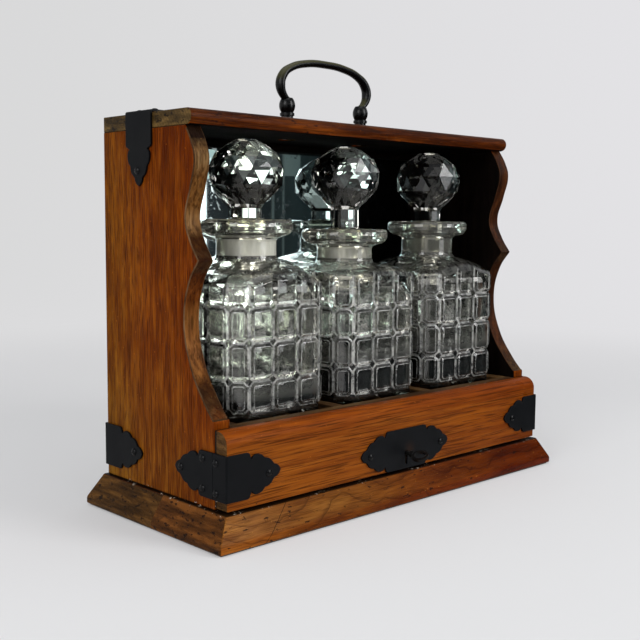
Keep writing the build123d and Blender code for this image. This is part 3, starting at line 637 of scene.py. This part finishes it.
def profile(name, outlines, thickness, ease, matrix):
    """A board or plate cut to flat outlines, with eased arrises.

    Outlines are lists of (u, v, smooth) in millimetres. The plate lies from 0 to
    thickness along its own normal, and matrix puts (u, v, normal) in place.
    """
    data = bpy.data.curves.new(name, "CURVE")
    data.dimensions, data.fill_mode, data.resolution_u = "2D", "BOTH", 10
    data.extrude, data.bevel_depth = MM * (thickness / 2 - ease), MM * ease
    data.bevel_resolution, data.offset = 1, -MM * ease
    for outline in outlines:
        add_spline(data, [(u, v, 0, 1, "AUTO" if round_here else "VECTOR")
                          for u, v, round_here in outline]).use_cyclic_u = True
    piece = as_mesh(name, data, 0.000004)
    piece.data.transform(Matrix.Translation((0, 0, MM * thickness / 2)))
    if matrix:
        piece.data.transform(matrix)
    return piece


def facing(origin, u_axis, v_axis, out):
    """Matrix that takes (u, v, out) to the part's frame, from origin in millimetres."""
    columns = Matrix((u_axis, v_axis, out)).transposed().to_4x4()
    return Matrix.Translation([MM * c for c in origin]) @ columns


WIDTHWAYS = facing((-HALF_W, 0, 0), Y, Z, X)     # from the left end, (u, v) being (y, z)


def placed(piece, x):
    """Moves a decanter's piece from the origin to its well."""
    piece.data.transform(Matrix.Translation((MM * x, MM * DECANTER_Y, 0)))
    return piece


def mirrored(piece, name):
    """A copy of a left-hand piece for the right."""
    other = add(name, piece.data.copy())
    other.data.transform(Matrix.Scale(-1, 4, X))
    return mend(other)


# ---- wood ----
def side_panel():
    """The left side, sawn to its scroll, with a rebate for the back board."""
    outline = [(BACK_Y, PLINTH_TOP, 0), (SIDE_FRONT_Y, PLINTH_TOP, 0), (SIDE_FRONT_Y, 80.0, 0),
               (-57.7, 81.6, 1), (-56.4, 82.2, 0), (-47.4, 92.2, 1), (-32.5, 115.3, 1),
               (-25.7, 144.1, 1), (-31.6, 170.4, 1), (-41.6, 184.4, 0), (-32.8, 196.9, 1),
               (-27.5, 211.3, 1), (-33.4, 232.0, 1), (-37.8, 250.7, 1), (-34.4, 261.5, 1),
               (-27.9, TOP_UNDER, 0), (BACK_Y, TOP_UNDER, 0)]
    piece = profile("side_board_left", [outline], BOARD_T, BOARD_EASE, WIDTHWAYS)
    inner = -HALF_W + BOARD_T
    combine(piece, block("rebate", inner - 6.35, inner + 1, BACK_Y - BACK_T, BACK_Y + 1, 0, 300))
    return smooth(piece, WOOD_ANGLE, True)


def arc(cy, cz, radius, start, stop, steps):
    """Points of an arc, in degrees."""
    turns = [radians(start + (stop - start) * i / steps) for i in range(steps + 1)]
    return [(cy + radius * cos(a), cz + radius * sin(a), 0) for a in turns]


def top_board():
    nose = TOP_T / 2
    outline = [(BACK_Y, TOP_UNDER, 0),
               *arc(TOP_NOSE_Y + nose, TOP_UNDER + nose, nose, 270, 90, 12),
               (BACK_Y, TOP_UNDER + TOP_T, 0)]
    piece = profile("top_plank", [outline], 2 * HALF_W, TOP_EASE, WIDTHWAYS)
    for x in (-POST_X, POST_X):
        combine(piece, rod("nut_seat", x, HANDLE_Y, TOP_UNDER - 3, TOP_UNDER + 5, 7.0))
    return smooth(piece, WOOD_ANGLE, True)


def front_panel():
    outline = [(PANEL_BACK_Y, PANEL_BOTTOM, 0), (PANEL_FACE_Y, PANEL_BOTTOM, 0),
               *arc(PANEL_FACE_Y + PANEL_ROUND, PANEL_TOP - PANEL_ROUND, PANEL_ROUND, 180, 90, 12),
               (PANEL_BACK_Y, PANEL_TOP, 0)]
    piece = profile("panel_board", [outline], 2 * HALF_W, BOARD_EASE, WIDTHWAYS)
    through = PANEL_FACE_Y - 5, PANEL_BACK_Y + 5
    combine(piece, rod("key_way", LOCK_X, KEY_Z, *through, 2.6, turn=True))
    combine(piece, block("key_slot", LOCK_X - 1.6, LOCK_X + 1.6, *through, KEY_Z - 9, KEY_Z))
    return smooth(piece, WOOD_ANGLE, True)


def plinth_board(name, front):
    """One plinth board, canted on its three outer edges, with worn arrises."""
    half_w, half_d, joint = PLINTH_W / 2, PLINTH_D / 2, MM * PLINTH_JOINT_Y
    y0, y1 = (-half_d, PLINTH_JOINT_Y) if front else (PLINTH_JOINT_Y, half_d)
    piece = edit(block(name, -half_w, half_w, y0, y1, BAIZE_T, PLINTH_EDGE), whole=False)
    pick(piece, "FACE", lambda f: f.normal.z > 0.9)
    bpy.ops.mesh.extrude_region_move(TRANSFORM_OT_translate={
        "value": (0, 0, MM * (PLINTH_TOP - PLINTH_EDGE))})
    pick(piece, "VERT", lambda v: v.co.z > MM * (PLINTH_TOP - 1))
    move(piece, lambda c: (c.x * (1 - CANT_X / half_w), c.y if abs(c.y - joint) <= MM
                           else c.y * (1 - CANT_Y / half_d), c.z))
    pick(piece, "EDGE", lambda e: not all(abs(v.co.y - joint) < MM for v in e.verts))
    bpy.ops.mesh.bevel(offset=MM * PLINTH_EASE, segments=3, affect="EDGES")
    done(piece)
    if front:
        combine(piece, block("strike_seat", LOCK_X - 20, LOCK_X + 25.5, -57.5, -48.5,
                             PLINTH_TOP - 2, 30))
        combine(piece, block("mortise", LOCK_X - 10, LOCK_X + 15.5, BOLT_Y0 - 0.6,
                             BOLT_Y1 + 0.6, 15.5, 30))
    return smooth(piece, WOOD_ANGLE, True)


def strip(node, ease):
    """A plain strip of wood in a CAD node's place, with eased arrises."""
    spans = [c / MM for pair in zip(*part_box(node)) for c in pair]
    piece = edit(block(node + "_strip", *spans))
    bpy.ops.mesh.bevel(offset=MM * ease, segments=2, affect="EDGES")
    return smooth(done(piece), WOOD_ANGLE)


def felt_piece(name, node, x=None):
    """A cut piece of baize with softened edges; given x, a square pad in a decanter's well."""
    low, high = (Vector([c / MM for c in corner]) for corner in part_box(node))
    if x is not None:
        low.x, high.x = x - GLASS_HALF, x + GLASS_HALF
    piece = edit(block(name, low.x, high.x, low.y, high.y, low.z, high.z))
    bpy.ops.mesh.subdivide(number_cuts=11)
    pick(piece, "VERT", lambda v: v.co.z > MM * (high.z - 0.01) and not any(
        abs(v.co[i] - MM * side[i]) < MM * 0.01 for side in (low, high) for i in (0, 1)))
    bpy.ops.transform.vertex_random(offset=MM * 0.06, uniform=0.0, normal=1.0, seed=4)
    bpy.ops.transform.translate(value=(0, 0, -MM * 0.07))
    return smooth(done(piece), 40)


# ---- iron ----
FOLD = IRON_T * pi / 4           # half of what a strap's middle line takes for its fold


# A strap's shaped end: (distance from its point, half width, smooth).
LEAF = ((28.4, 15.4, 0), (26.9, 14.7, 1), (26.3, 13.3, 0), (25.1, 10.8, 0), (23.0, 12.8, 1),
        (19.8, 13.3, 1), (16.2, 12.2, 1), (13.6, 9.8, 0), (11.0, 9.4, 1), (8.6, 8.1, 1),
        (5.7, 4.7, 0), (3.4, 4.0, 1), (1.4, 2.4, 1))


def leaf(length):
    """The shaped end at +u: along its upper edge to the point at length, and back below."""
    return [*[(length - u, v, r) for u, v, r in LEAF], (length, 0.0, 0),
            *[(length - u, -v, r) for u, v, r in reversed(LEAF)]]


def one_leaf(length, start):
    """A strap with one shaped end and a square end at start."""
    return [(start, STRAP_HALF, 0), *leaf(length), (start, -STRAP_HALF, 0)]


def two_leaves(length):
    """A strap with a shaped end each way."""
    return leaf(length) + [(-u, -v, r) for u, v, r in leaf(length)]


def folded_strap(name, outline, corner, u_axis, v_axis, out):
    """Cuts a flat strap, longer by its fold, and folds it at u = 0 over the wood's arris."""
    half = FOLD / 2
    outline = [(u + (half if u > 0 else -half), v, r) for u, v, r in outline]
    piece = edit(profile(name, [outline], IRON_T, IRON_EASE, None))
    for step in range(5):
        bpy.ops.mesh.select_all(action="SELECT")
        bpy.ops.mesh.bisect(plane_co=(MM * FOLD * (step / 4 - 0.5), 0, 0), plane_no=X)
    done(piece)
    for v in piece.data.vertices:
        u, rise = v.co.x / MM, v.co.z / MM
        if u > half:
            a, b = u - half, rise
        elif u < -half:
            a, b = -rise, u + half
        else:
            turn = (half - u) / FOLD * pi / 2
            a, b = -rise * sin(turn), rise * cos(turn)
        v.co = (MM * a, v.co.y, MM * b)
    piece.data.transform(facing(corner, u_axis, v_axis, out))
    return mend(piece)


def iron_mounts():
    """The left-hand straps and their mirrored copies."""
    front = one_leaf(FRONT_REACH, PANEL_FACE_Y - PANEL_BACK_Y)
    side = facing((-HALF_W, SIDE_FRONT_Y, STRAP_Z), Y, Z, (-1, 0, 0))
    straps = (
        (folded_strap("top_mount_left", two_leaves(TOP_REACH),
                      (-HALF_W, TOP_STRAP_Y, TOP_UNDER + TOP_T), X, Y, Z), "top_strap", "case"),
        (folded_strap("back_mount_left", two_leaves(BACK_REACH),
                      (-HALF_W, BACK_Y, STRAP_Z), X, Z, Y), "back_strap", "case"),
        (folded_strap("panel_mount_left", front,
                      (-HALF_W, PANEL_FACE_Y, STRAP_Z), X, Z, (0, -1, 0)), "front_strap", "tray"),
        (profile("side_mount_left", [one_leaf(SIDE_REACH, 0.0)], IRON_T, IRON_EASE, side),
         "side_leaf", "case"))
    for piece, node, body in straps:
        right = mirrored(smooth(piece, IRON_ANGLE, True), piece.name.replace("left", "right"))
        finish(piece, body, iron, node + "_left")
        finish(smooth(right, IRON_ANGLE, True), body, iron, node + "_right")


def escutcheon():
    """The lock plate, with its keyhole."""
    drop = KEY_Z - PLATE_Z
    hole = [(x, z + drop, 0) for x, z, _ in arc(0, 0, 2.1, -58, 238, 16)]
    hole += [(-1.1, drop - 8.5, 0), (1.1, drop - 8.5, 0)]
    piece = profile("lock_plate", [two_leaves(PLATE_REACH), hole], PLATE_T, PLATE_EASE,
                    facing((LOCK_X, PANEL_FACE_Y, PLATE_Z), X, Z, (0, -1, 0)))
    return smooth(mend(piece), IRON_ANGLE, True)


# ---- handle ----
def bail():
    """The carrying bail: one bar, thinner at its crown and at its turned-in ends."""
    only()
    bpy.ops.curve.primitive_bezier_circle_add(radius=1.0)
    section = bpy.context.object
    section.scale = (MM * 3.8, MM * 2.95, 1)
    path = bpy.data.curves.new("bail", "CURVE")
    path.dimensions, path.bevel_mode, path.bevel_object = "3D", "OBJECT", section
    path.use_fill_caps, path.resolution_u = True, 16
    half = [(38.4, 301.6, 0.72), (43.6, 305.0, 0.92), (47.2, 313.2, 1.14), (44.3, 321.4, 1.12),
            (36.6, 327.0, 1.0), (20.0, 331.6, 0.98), (0.0, 332.8, 0.97)]
    points = [(-x, z, r) for x, z, r in half] + half[-2::-1]
    add_spline(path, [(x, HANDLE_Y, z, r, "AUTO") for x, z, r in points])
    piece = as_mesh("bail", path, 0.00001)
    bpy.data.objects.remove(section)
    return smooth(piece, 50)


# ---- glass ----
def lathe(name, outline, height=0.0, steps=48):
    """Spins an outline of (radius, height) about the Z axis, closed at both of its ends."""
    outline = [(r, z + height) for r, z in outline]
    outline = [(0, outline[0][1]), *outline, (0, outline[-1][1])]
    data = bpy.data.meshes.new(name)
    data.from_pydata([(MM * r, 0, MM * z) for r, z in outline],
                     [(i, i + 1) for i in range(len(outline) - 1)], [])
    piece = edit(add(name, data))
    bpy.ops.mesh.spin(steps=steps, angle=2 * pi, center=(0, 0, 0), axis=Z)
    return mend(piece, 0.000005)


NECK_R, DOME_REACH, DOME_EDGE_Z = 21.6, 22.4, 174.8


def dome(radius, neck_base):
    """Height of the low dome over the body, from the neck outwards."""
    fall = max(radius - NECK_R, 0.0) / DOME_REACH
    return neck_base - (neck_base - DOME_EDGE_Z) * fall ** 1.4


def tag(piece, slot):
    """Gives the selected faces a material slot."""
    mesh = bmesh.from_edit_mesh(piece.data)
    for face in mesh.faces:
        if face.select:
            face.material_index = slot
    bmesh.update_edit_mesh(piece.data)


def grow_rim(piece, high, rule):
    """Extrudes the open rim at the top or the bottom to where rule puts its vertices."""
    pick(piece, "EDGE", lambda e: e.is_boundary and (e.verts[0].co.z > MM * BODY_MIDDLE) == high)
    bpy.ops.mesh.extrude_edges_move()
    move(piece, rule)


def upright(edge):
    return abs(edge.verts[0].co.z - edge.verts[1].co.z) > 0.01


# A pillow's insets from its groove inwards: (width, rise, satin or clear).
PILLOW = ((1.0, 0.8, 1), (1.7, 1.0, 0), (0.5, 0.2, 1), (1.4, 0.2, 0))
GROOVE_DEPTH, CORNER_CUT, CROSSING = 2.2, 10.0, 3.0
BODY_FOOT, BODY_MIDDLE, BODY_TOP = 74.0, 120.0, 166.0


def pillow_body(name, side):
    """The square body: pillows between V grooves, canted corners, a cut shoulder."""
    neck_base, half = NECK_BASE[side], GLASS_HALF - GROOVE_DEPTH
    piece = edit(block(name, -half, half, -half, half, BODY_FOOT, BODY_TOP), whole=False)
    pick(piece, "EDGE", upright)
    bpy.ops.mesh.bevel(offset=MM * CORNER_CUT, segments=1, affect="EDGES")
    third = MM * (GLASS_HALF - GLASS_CANT) / 3
    cuts = [((0, 0, MM * z), Z) for z in GROOVES[side]]
    cuts += [((-third, 0, 0), X), ((third, 0, 0), X), ((0, -third, 0), Y), ((0, third, 0), Y)]
    for place, normal in cuts:
        bpy.ops.mesh.select_all(action="SELECT")
        bpy.ops.mesh.bisect(plane_co=place, plane_no=normal)
    pick(piece, "FACE", lambda f: abs(f.normal.z) > 0.5)
    bpy.ops.mesh.delete(type="FACE")
    # where grooves cross, a small diamond that stands up a little
    pick(piece, "VERT", lambda v: len(v.link_faces) == 4)
    bpy.ops.mesh.bevel(offset=MM * CROSSING, segments=1, affect="VERTICES")
    pick(piece, "FACE", lambda f: f.calc_area() < MM ** 2 * 25)
    bpy.ops.mesh.poke(offset=MM * 0.4)
    pick(piece, "VERT", lambda v: v.co.z > MM * (BODY_TOP - 1))
    move(piece, lambda c: (c.x, c.y, MM * (dome(c.xy.length / MM, neck_base) - 2.0)))

    # shoulder: two rows of crossed facets, then a plain ring under the neck
    for scale, even in ((0.80, 45.0), (0.60, 36.0)):
        grow_rim(piece, True, lambda c: rounder(c, scale, even, neck_base))
    pick(piece, "FACE", lambda f: f.normal.z > 0.5)
    bpy.ops.mesh.poke(offset=MM * 0.7)
    grow_rim(piece, True, lambda c: (c.x * 0.6, c.y * 0.6, c.z + MM))
    bpy.ops.mesh.edge_face_add()

    # base: a rounded foot with a shallow hollow under it
    for scale, z in ((0.985, 71.5), (0.94, GLASS_BOTTOM), (0.80, GLASS_BOTTOM),
                     (0.72, GLASS_BOTTOM + 1.4)):
        grow_rim(piece, False, lambda c: (c.x * scale, c.y * scale, MM * z))
    bpy.ops.mesh.edge_face_add()

    # pillows, flat in the middle with a low crown
    pick(piece, "FACE", lambda f: abs(f.normal.z) < 0.2 and f.calc_area() > MM ** 2 * 40
         and f.calc_center_median().z > MM * 79)
    for width, rise, slot in PILLOW:
        tag(piece, slot)
        bpy.ops.mesh.inset(thickness=MM * width, depth=MM * rise, use_individual=True)
    tag(piece, 0)
    pick(piece, "FACE", lambda f: f.material_index == 1
         and f.calc_center_median().z > MM * (BODY_TOP - 2.5))
    tag(piece, 0)
    return placed(mend(piece), x=SIDES[side])


def rounder(c, scale, even, neck_base):
    """The next ring of the shoulder: smaller, rounder and up on the dome."""
    radius = (c.xy.length * 0.4 + MM * even * 0.6) * scale
    return (*(c.xy.normalized() * radius), MM * dome(radius / MM, neck_base))


def hollow(side):
    """The inside of the decanter, up to its neck."""
    base, half = NECK_BASE[side], GLASS_HALF - 6.2
    piece = edit(block("hollow", -half, half, -half, half, 78.2, 150.0), whole=False)
    pick(piece, "EDGE", upright)
    bpy.ops.mesh.bevel(offset=MM * 13.0, segments=6, affect="EDGES")
    for drop, reach in ((22.0, 46.0), (17.5, 42.78), (13.8, 36.8), (11.0, 28.52), (9.2, 20.7),
                        (7.4, 14.72)):
        raise_top(piece, lambda c: (*(c.xy.normalized() * min(c.xy.length, MM * reach)),
                                    MM * (base - drop)))
    return done(piece)


# Turned outlines of (radius, height): the neck's foot from its base, the rest from the lip.
NECK_FOOT = ((20.0, -5), (25.4, -1.4), (23.6, -0.4), (22.3, 1.2), (21.7, 3.4))
LIP = ((NECK_R, -15.4), (22.1, -14.0), (23.6, -12.9), (26.5, -12.0), (29.8, -11.1),
       (32.2, -9.4), (33.5, -7.2), (33.9, -4.8), (33.6, -2.4), (32.7, -0.8), (31.2, 0), (26.0, -0.2))
THROAT_R, THROAT_END, HAZE_FROM, HAZE_TO = 11.6, -26.5, 20.0, 22.3
MOUTH = (PEG_END + 0.1, -27), (PEG_TOP + 0.1, -9.5)
FUNNEL = (PEG_TOP + 0.1, -10), (PEG_TOP + 0.3, -1), (PEG_TOP + 1.2, 1)
PEG = (PEG_END - 1.0, -26.0), (PEG_END, -25.0), (PEG_TOP, -9.8)
CAP = (PEG_TOP - 0.05, -10.0), (PEG_TOP, -0.6), (PEG_TOP - 0.8, 0.5), (11.4, 1.1)


def decanter(side):
    lip, base, x = LIP_TOP[side], NECK_BASE[side], SIDES[side]
    piece = pillow_body("decanter_glass_" + side, side)
    top = lathe("neck", [(r, z + base - lip) for r, z in NECK_FOOT] + list(LIP), lip, 64)
    throat = [(THROAT_R, base - lip - 12), (THROAT_R, THROAT_END)]
    tools = ((top, lip_glass), (hollow(side), clouded_and_shaded), (lathe("throat", throat, lip), glass),
             (lathe("mouth", MOUTH, lip), ground), (lathe("funnel", FUNNEL, lip), glass))
    piece.data.materials.append(glass)
    piece.data.materials.append(groove)
    for tool, material in tools:
        tool.data.materials.append(material)
        combine(piece, placed(tool, x), "UNION" if tool is top else "DIFFERENCE")
    centre = Vector((MM * x, MM * DECANTER_Y))
    stain(piece, neck_haze_and_light, lambda f: MM * HAZE_FROM < (f.center.xy - centre).length < MM * HAZE_TO
          and MM * (base + 2.5) < f.center.z < MM * (lip - 14.5))
    return smooth(piece, 16)


# The ball's rows of corners: (height, radius, turn in facets).
BALL = ((219.0, 11.0, 0), (222.0, 12.6, 0), (225.2, 16.6, 0), (235.6, 25.9, 0.5),
        (247.6, 27.4, 0), (258.2, 22.6, 0.5), (265.0, 12.9, 0), (267.6, 7.6, 0.5))
FACETS = 12


def stopper(side):
    """A ball cut with rows of triangular facets, on a ground peg."""
    lip = LIP_TOP[side]
    piece = rod("stopper_glass_" + side, 0, 0, lip + 0.8, lip + 1.8, 11.2, sides=FACETS)
    edit(piece, whole=False)
    turned = 0.0
    for z, r, turn in BALL:
        spin = Matrix.Rotation(2 * pi / FACETS * (turn - turned), 2)
        raise_top(piece, lambda c: (*((spin @ c.xy).normalized() * MM * r), MM * z))
        turned = turn
    pick(piece, "FACE", lambda f: len(f.verts) == 4)
    bpy.ops.mesh.quads_convert_to_tris(quad_method="SHORTEST_DIAGONAL")
    done(piece)
    piece.data.materials.append(glass)
    for name, outline, material in (("cap", CAP, glass), ("peg", PEG, ground)):
        part = lathe(name, outline, lip)
        part.data.materials.append(material)
        combine(piece, part, "UNION")
    return smooth(placed(piece, SIDES[side]), 8)


# ---- stage ----
def lamp(name, place, aim, size, watts):
    data = bpy.data.lights.new(name, "AREA")
    data.shape, data.size, data.size_y, data.energy = "RECTANGLE", *size, watts
    piece = add(name, data)
    piece.location, piece.rotation_mode = place, "QUATERNION"
    piece.rotation_quaternion = (Vector(place) - Vector(aim)).to_track_quat("Z", "Y")


def pale_paper():
    """Paper that is lit near the object, so that it keeps the shadow, and glows further out, with
    painted light that makes it brighter towards the right.
    """
    m = Finish("pale_paper")
    m.feed(m.shader, {"Base Color": (0.83, 0.83, 0.835), "Roughness": 0.9,
                      "Specular IOR Level": 0.1})
    radius = m.vector("LENGTH", m.vector("MULTIPLY", m.place, (1, 1, 0))[0])["Value"]
    far = m.spread(radius, 0.3, 1.3, 0.3, 1.0, interpolation_type="SMOOTHSTEP")
    path = m.put("LightPath").outputs
    seen = m.math("ADD", path["Is Camera Ray"], path["Is Glossy Ray"])
    seen = m.math("ADD", seen, path["Is Transmission Ray"], clamp=True)
    # painted light: the glow grows brighter across the view, from left to right
    across = m.vector("DOT_PRODUCT", m.place, (0.719, -0.687, 0))["Value"]
    pale = m.ramp(m.spread(across, -1.0, 1.0), (0.0, (0.695, 0.695, 0.70)),
                  (1.0, (0.765, 0.76, 0.78)))
    glow = m.put("Emission", {"Color": pale, "Strength": 1.0})
    both = m.put("MixShader", {0: m.times(far, seen), 1: m.shader.outputs[0],
                               2: glow.outputs[0]})
    m.feed(m.output, {"Surface": both.outputs[0]})
    return m.material


# Pale stripes on the dark card: (azimuth and half width in degrees, lowest, highest, grey).
PALE_STRIPES = ((-46.6, 0.75, 0.32, 0.375, 0.20), (-48.2, 0.12, 0.05, 0.5, 0.13),
                (-47.3, 0.08, 0.05, 0.5, 0.15), (-53.55, 0.4, 0.31, 0.41, 1.0),
                (-50.5, 0.8, 0.05, 0.5, 0.05))


def dark_cloth():
    """The dark card's cloth, in faint folds, with the pale stripes."""
    m = Finish("dark_card")
    folds = m.noise(7.0, 3.0, (1, 1, 0.05))
    tone = m.ramp(folds, (0.42, (0.006, 0.011, 0.014)), (0.7, (0.035, 0.055, 0.055)))
    x, y, z = m.axes(m.place)
    turn = m.math("ARCTAN2", y, x)
    for middle, half, low, high, grey in PALE_STRIPES:
        stripe = m.math("COMPARE", turn, radians(middle), radians(half))
        for level, side in ((low, "GREATER_THAN"), (high, "LESS_THAN")):
            stripe = m.times(stripe, m.math(side, z, level))
        tone = m.mix(stripe, tone, (0.8 * grey, grey, 0.96 * grey))
    m.feed(m.shader, {"Base Color": tone, "Roughness": 0.9})
    return m.material


def curved_card(name, radius, start, stop, low, high, material):
    """An upright card round the object, which only gloss and glass see."""
    data = bpy.data.meshes.new(name)
    turns = [radians(a) for a in range(start, stop + 1, 6)]
    data.from_pydata([(radius * cos(a), radius * sin(a), z) for z in (low, high) for a in turns],
                     [], [(i, i + 1, i + 1 + len(turns), i + len(turns))
                          for i in range(len(turns) - 1)])
    card = add(name, data)
    card.data.materials.append(material)
    card.visible_camera = card.visible_diffuse = card.visible_shadow = False
    return card


# In metres: the round floor, its cove and wall, and the cards round the object.
FLOOR_R, COVE_R, COVE_STEPS, WALL_TOP = 1.9, 0.9, 8, 1.5
DARK_R, DARK_TOP, DARK_REACH, BRIGHT_R = 1.7, 0.55, 0.27, 1.65


def set_stage():
    """A pale round cove, soft lamps, and a dark and a bright card for gloss and glass."""
    only()
    bpy.ops.mesh.primitive_circle_add(vertices=96, radius=FLOOR_R, fill_type="NGON")
    cove = bpy.context.object
    cove.name = "cove"
    edit(cove, whole=False)
    pick(cove, "EDGE", lambda e: e.is_boundary)
    for step in range(1, COVE_STEPS + 1):
        angle = pi / 2 * step / COVE_STEPS
        bpy.ops.mesh.extrude_edges_move()
        move(cove, lambda c, a=angle: (*(c.xy.normalized() * (FLOOR_R + COVE_R * sin(a))),
                                       COVE_R * (1 - cos(a))))
    bpy.ops.mesh.extrude_edges_move()
    move(cove, lambda c: (c.x, c.y, WALL_TOP))
    smooth(done(cove), 60)
    cove.data.materials.append(pale_paper())

    world = bpy.data.worlds.new("studio")
    bpy.context.scene.world = world
    world.use_nodes = True
    colour, strength = world.node_tree.nodes["Background"].inputs[:2]
    colour.default_value, strength.default_value = (0.95, 0.97, 1.0, 1), 0.36
    lamp("window", (0.55, -1.25, 0.85), (0, 0, 0.15), (0.6, 0.8), 10)
    lamp("overhead", (-0.1, -0.1, 1.8), (0, 0, 0.1), (1.6, 1.6), 9)
    lamp("left_fill", (-1.35, -0.35, 0.9), (0, 0, 0.15), (0.8, 0.8), 7.5)

    # the dark card reaches in over the floor, nearly to the object
    room = edit(curved_card("dark_card", DARK_R, -130, 32, 0.0, DARK_TOP, dark_cloth()), whole=False)
    pick(room, "EDGE", lambda e: max(v.co.z for v in e.verts) < 0.01)
    bpy.ops.mesh.extrude_edges_move()
    move(room, lambda c: (*(c.xy.normalized() * DARK_REACH), 0.002))
    done(room)
    bright = Finish("bright_card")
    bright.feed(bright.shader, {"Base Color": (0, 0, 0), "Emission Color": (0.96, 0.98, 1.0),
                                "Emission Strength": 3.0})
    curved_card("bright_card", BRIGHT_R, -78, -54, 0.03, 0.8, bright.material)


# ---- the whole ----
set_camera()
set_stage()

# side boards, with worn scrolls outside, painted highlights on the left scroll, and near-black
# inside
left = side_panel()
right = mirrored(left, "side_board_right")
finish(left, "case", oak_side, "side_panel_left")
finish(smooth(right, WOOD_ANGLE, True), "case", oak_side_right, "side_panel_right")
SCROLL_FOOT, SCROLL_HEAD, INNER = 0.0815, 0.270, MM * (HALF_W - BOARD_T + 1)
for board, edge, worn_edge, inward in ((left, oak_scroll, arris, 1),
                                       (right, oak_scroll_right, arris_right, -1)):
    stain(board, edge, lambda f: abs(f.normal.x) < 0.2 and f.center.z > SCROLL_FOOT
          and f.normal.y < 0.5)
    stain(board, worn_edge, lambda f: 0.2 < abs(f.normal.x) < 0.97 and f.normal.y < 0
          and SCROLL_FOOT < f.center.z < SCROLL_HEAD)
    stain(board, near_black_oak["z"], lambda f: f.normal.x * inward > 0.8
          and f.center.x * inward > -INNER)
plank = finish(top_board(), "case", oak_top, "top_board")
stain(plank, near_black_oak["x"], lambda f: f.normal.z < -0.9)
finish(front_panel(), "tray", oak_panel, "front_panel")
finish(plinth_board("plinth_front", True), "case", oak_plinth_front, "plinth_board_front")
finish(plinth_board("plinth_back", False), "case", oak_plinth_back, "plinth_board_back")

STRIPS = (("tray", "worn_wood", 0.6, worn_x, "well_rail_front well_rail_back"),
          ("tray", "worn_wood", 0.6, worn_y, "well_divider_left well_divider_right"
                                             " well_end_left well_end_right"),
          ("case", "dark_wood", 0.8, near_black_oak["x"], "mirror_rail_top mirror_bead_bottom"),
          ("case", "dark_wood", 0.8, near_black_oak["z"], "mirror_bead_left mirror_bead_right"))
for body, slot, ease, material, nodes in STRIPS:
    for node in nodes.split():
        finish(strip(node, ease), body, material, node)

# CAD nodes whose shape is right get only their finish.
PAINTED = ((near_black_oak["x"], "back_board tray_stop tray_rear_rail well_floor"),
           (near_black_oak["y"], "tray_guide_left tray_guide_right tray_bearer_left tray_bearer_right"),
           (screw_iron, "case_strap_screws panel_strap_screws escutcheon_screws"),
           (post_bronze, "handle_post_left handle_post_right handle_nuts"),
           (brass, "strike_plate strike_pins lock_cap lock_bolt back_board_screws"),
           (steel, "lock_case lock_spring lock_screws plinth_screws"),
           (dark_key, "key"), (silver, "mirror_glass"))
for material, nodes in PAINTED:
    for node in nodes.split():
        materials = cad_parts[node].data.materials
        materials.clear()
        materials.append(material)
stain(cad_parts["back_board"], oak_back, lambda f: f.normal.y > 0.9)

iron_mounts()
finish(escutcheon(), "tray", lock_iron, "escutcheon")
finish(bail(), "case", bronze, "handle_bail")
for side in SIDES:
    finish(decanter(side), "decanter_" + side, None, "decanter_" + side)
    finish(stopper(side), "stopper_" + side, None, "stopper_" + side)
base = finish(felt_piece("base_felt", "base_baize"), "case", baize, "base_baize")
for side, x in SIDES.items():
    pad = felt_piece("well_felt_" + side, "well_baize", x)
    finish(pad, "tray", baize, "well_baize")
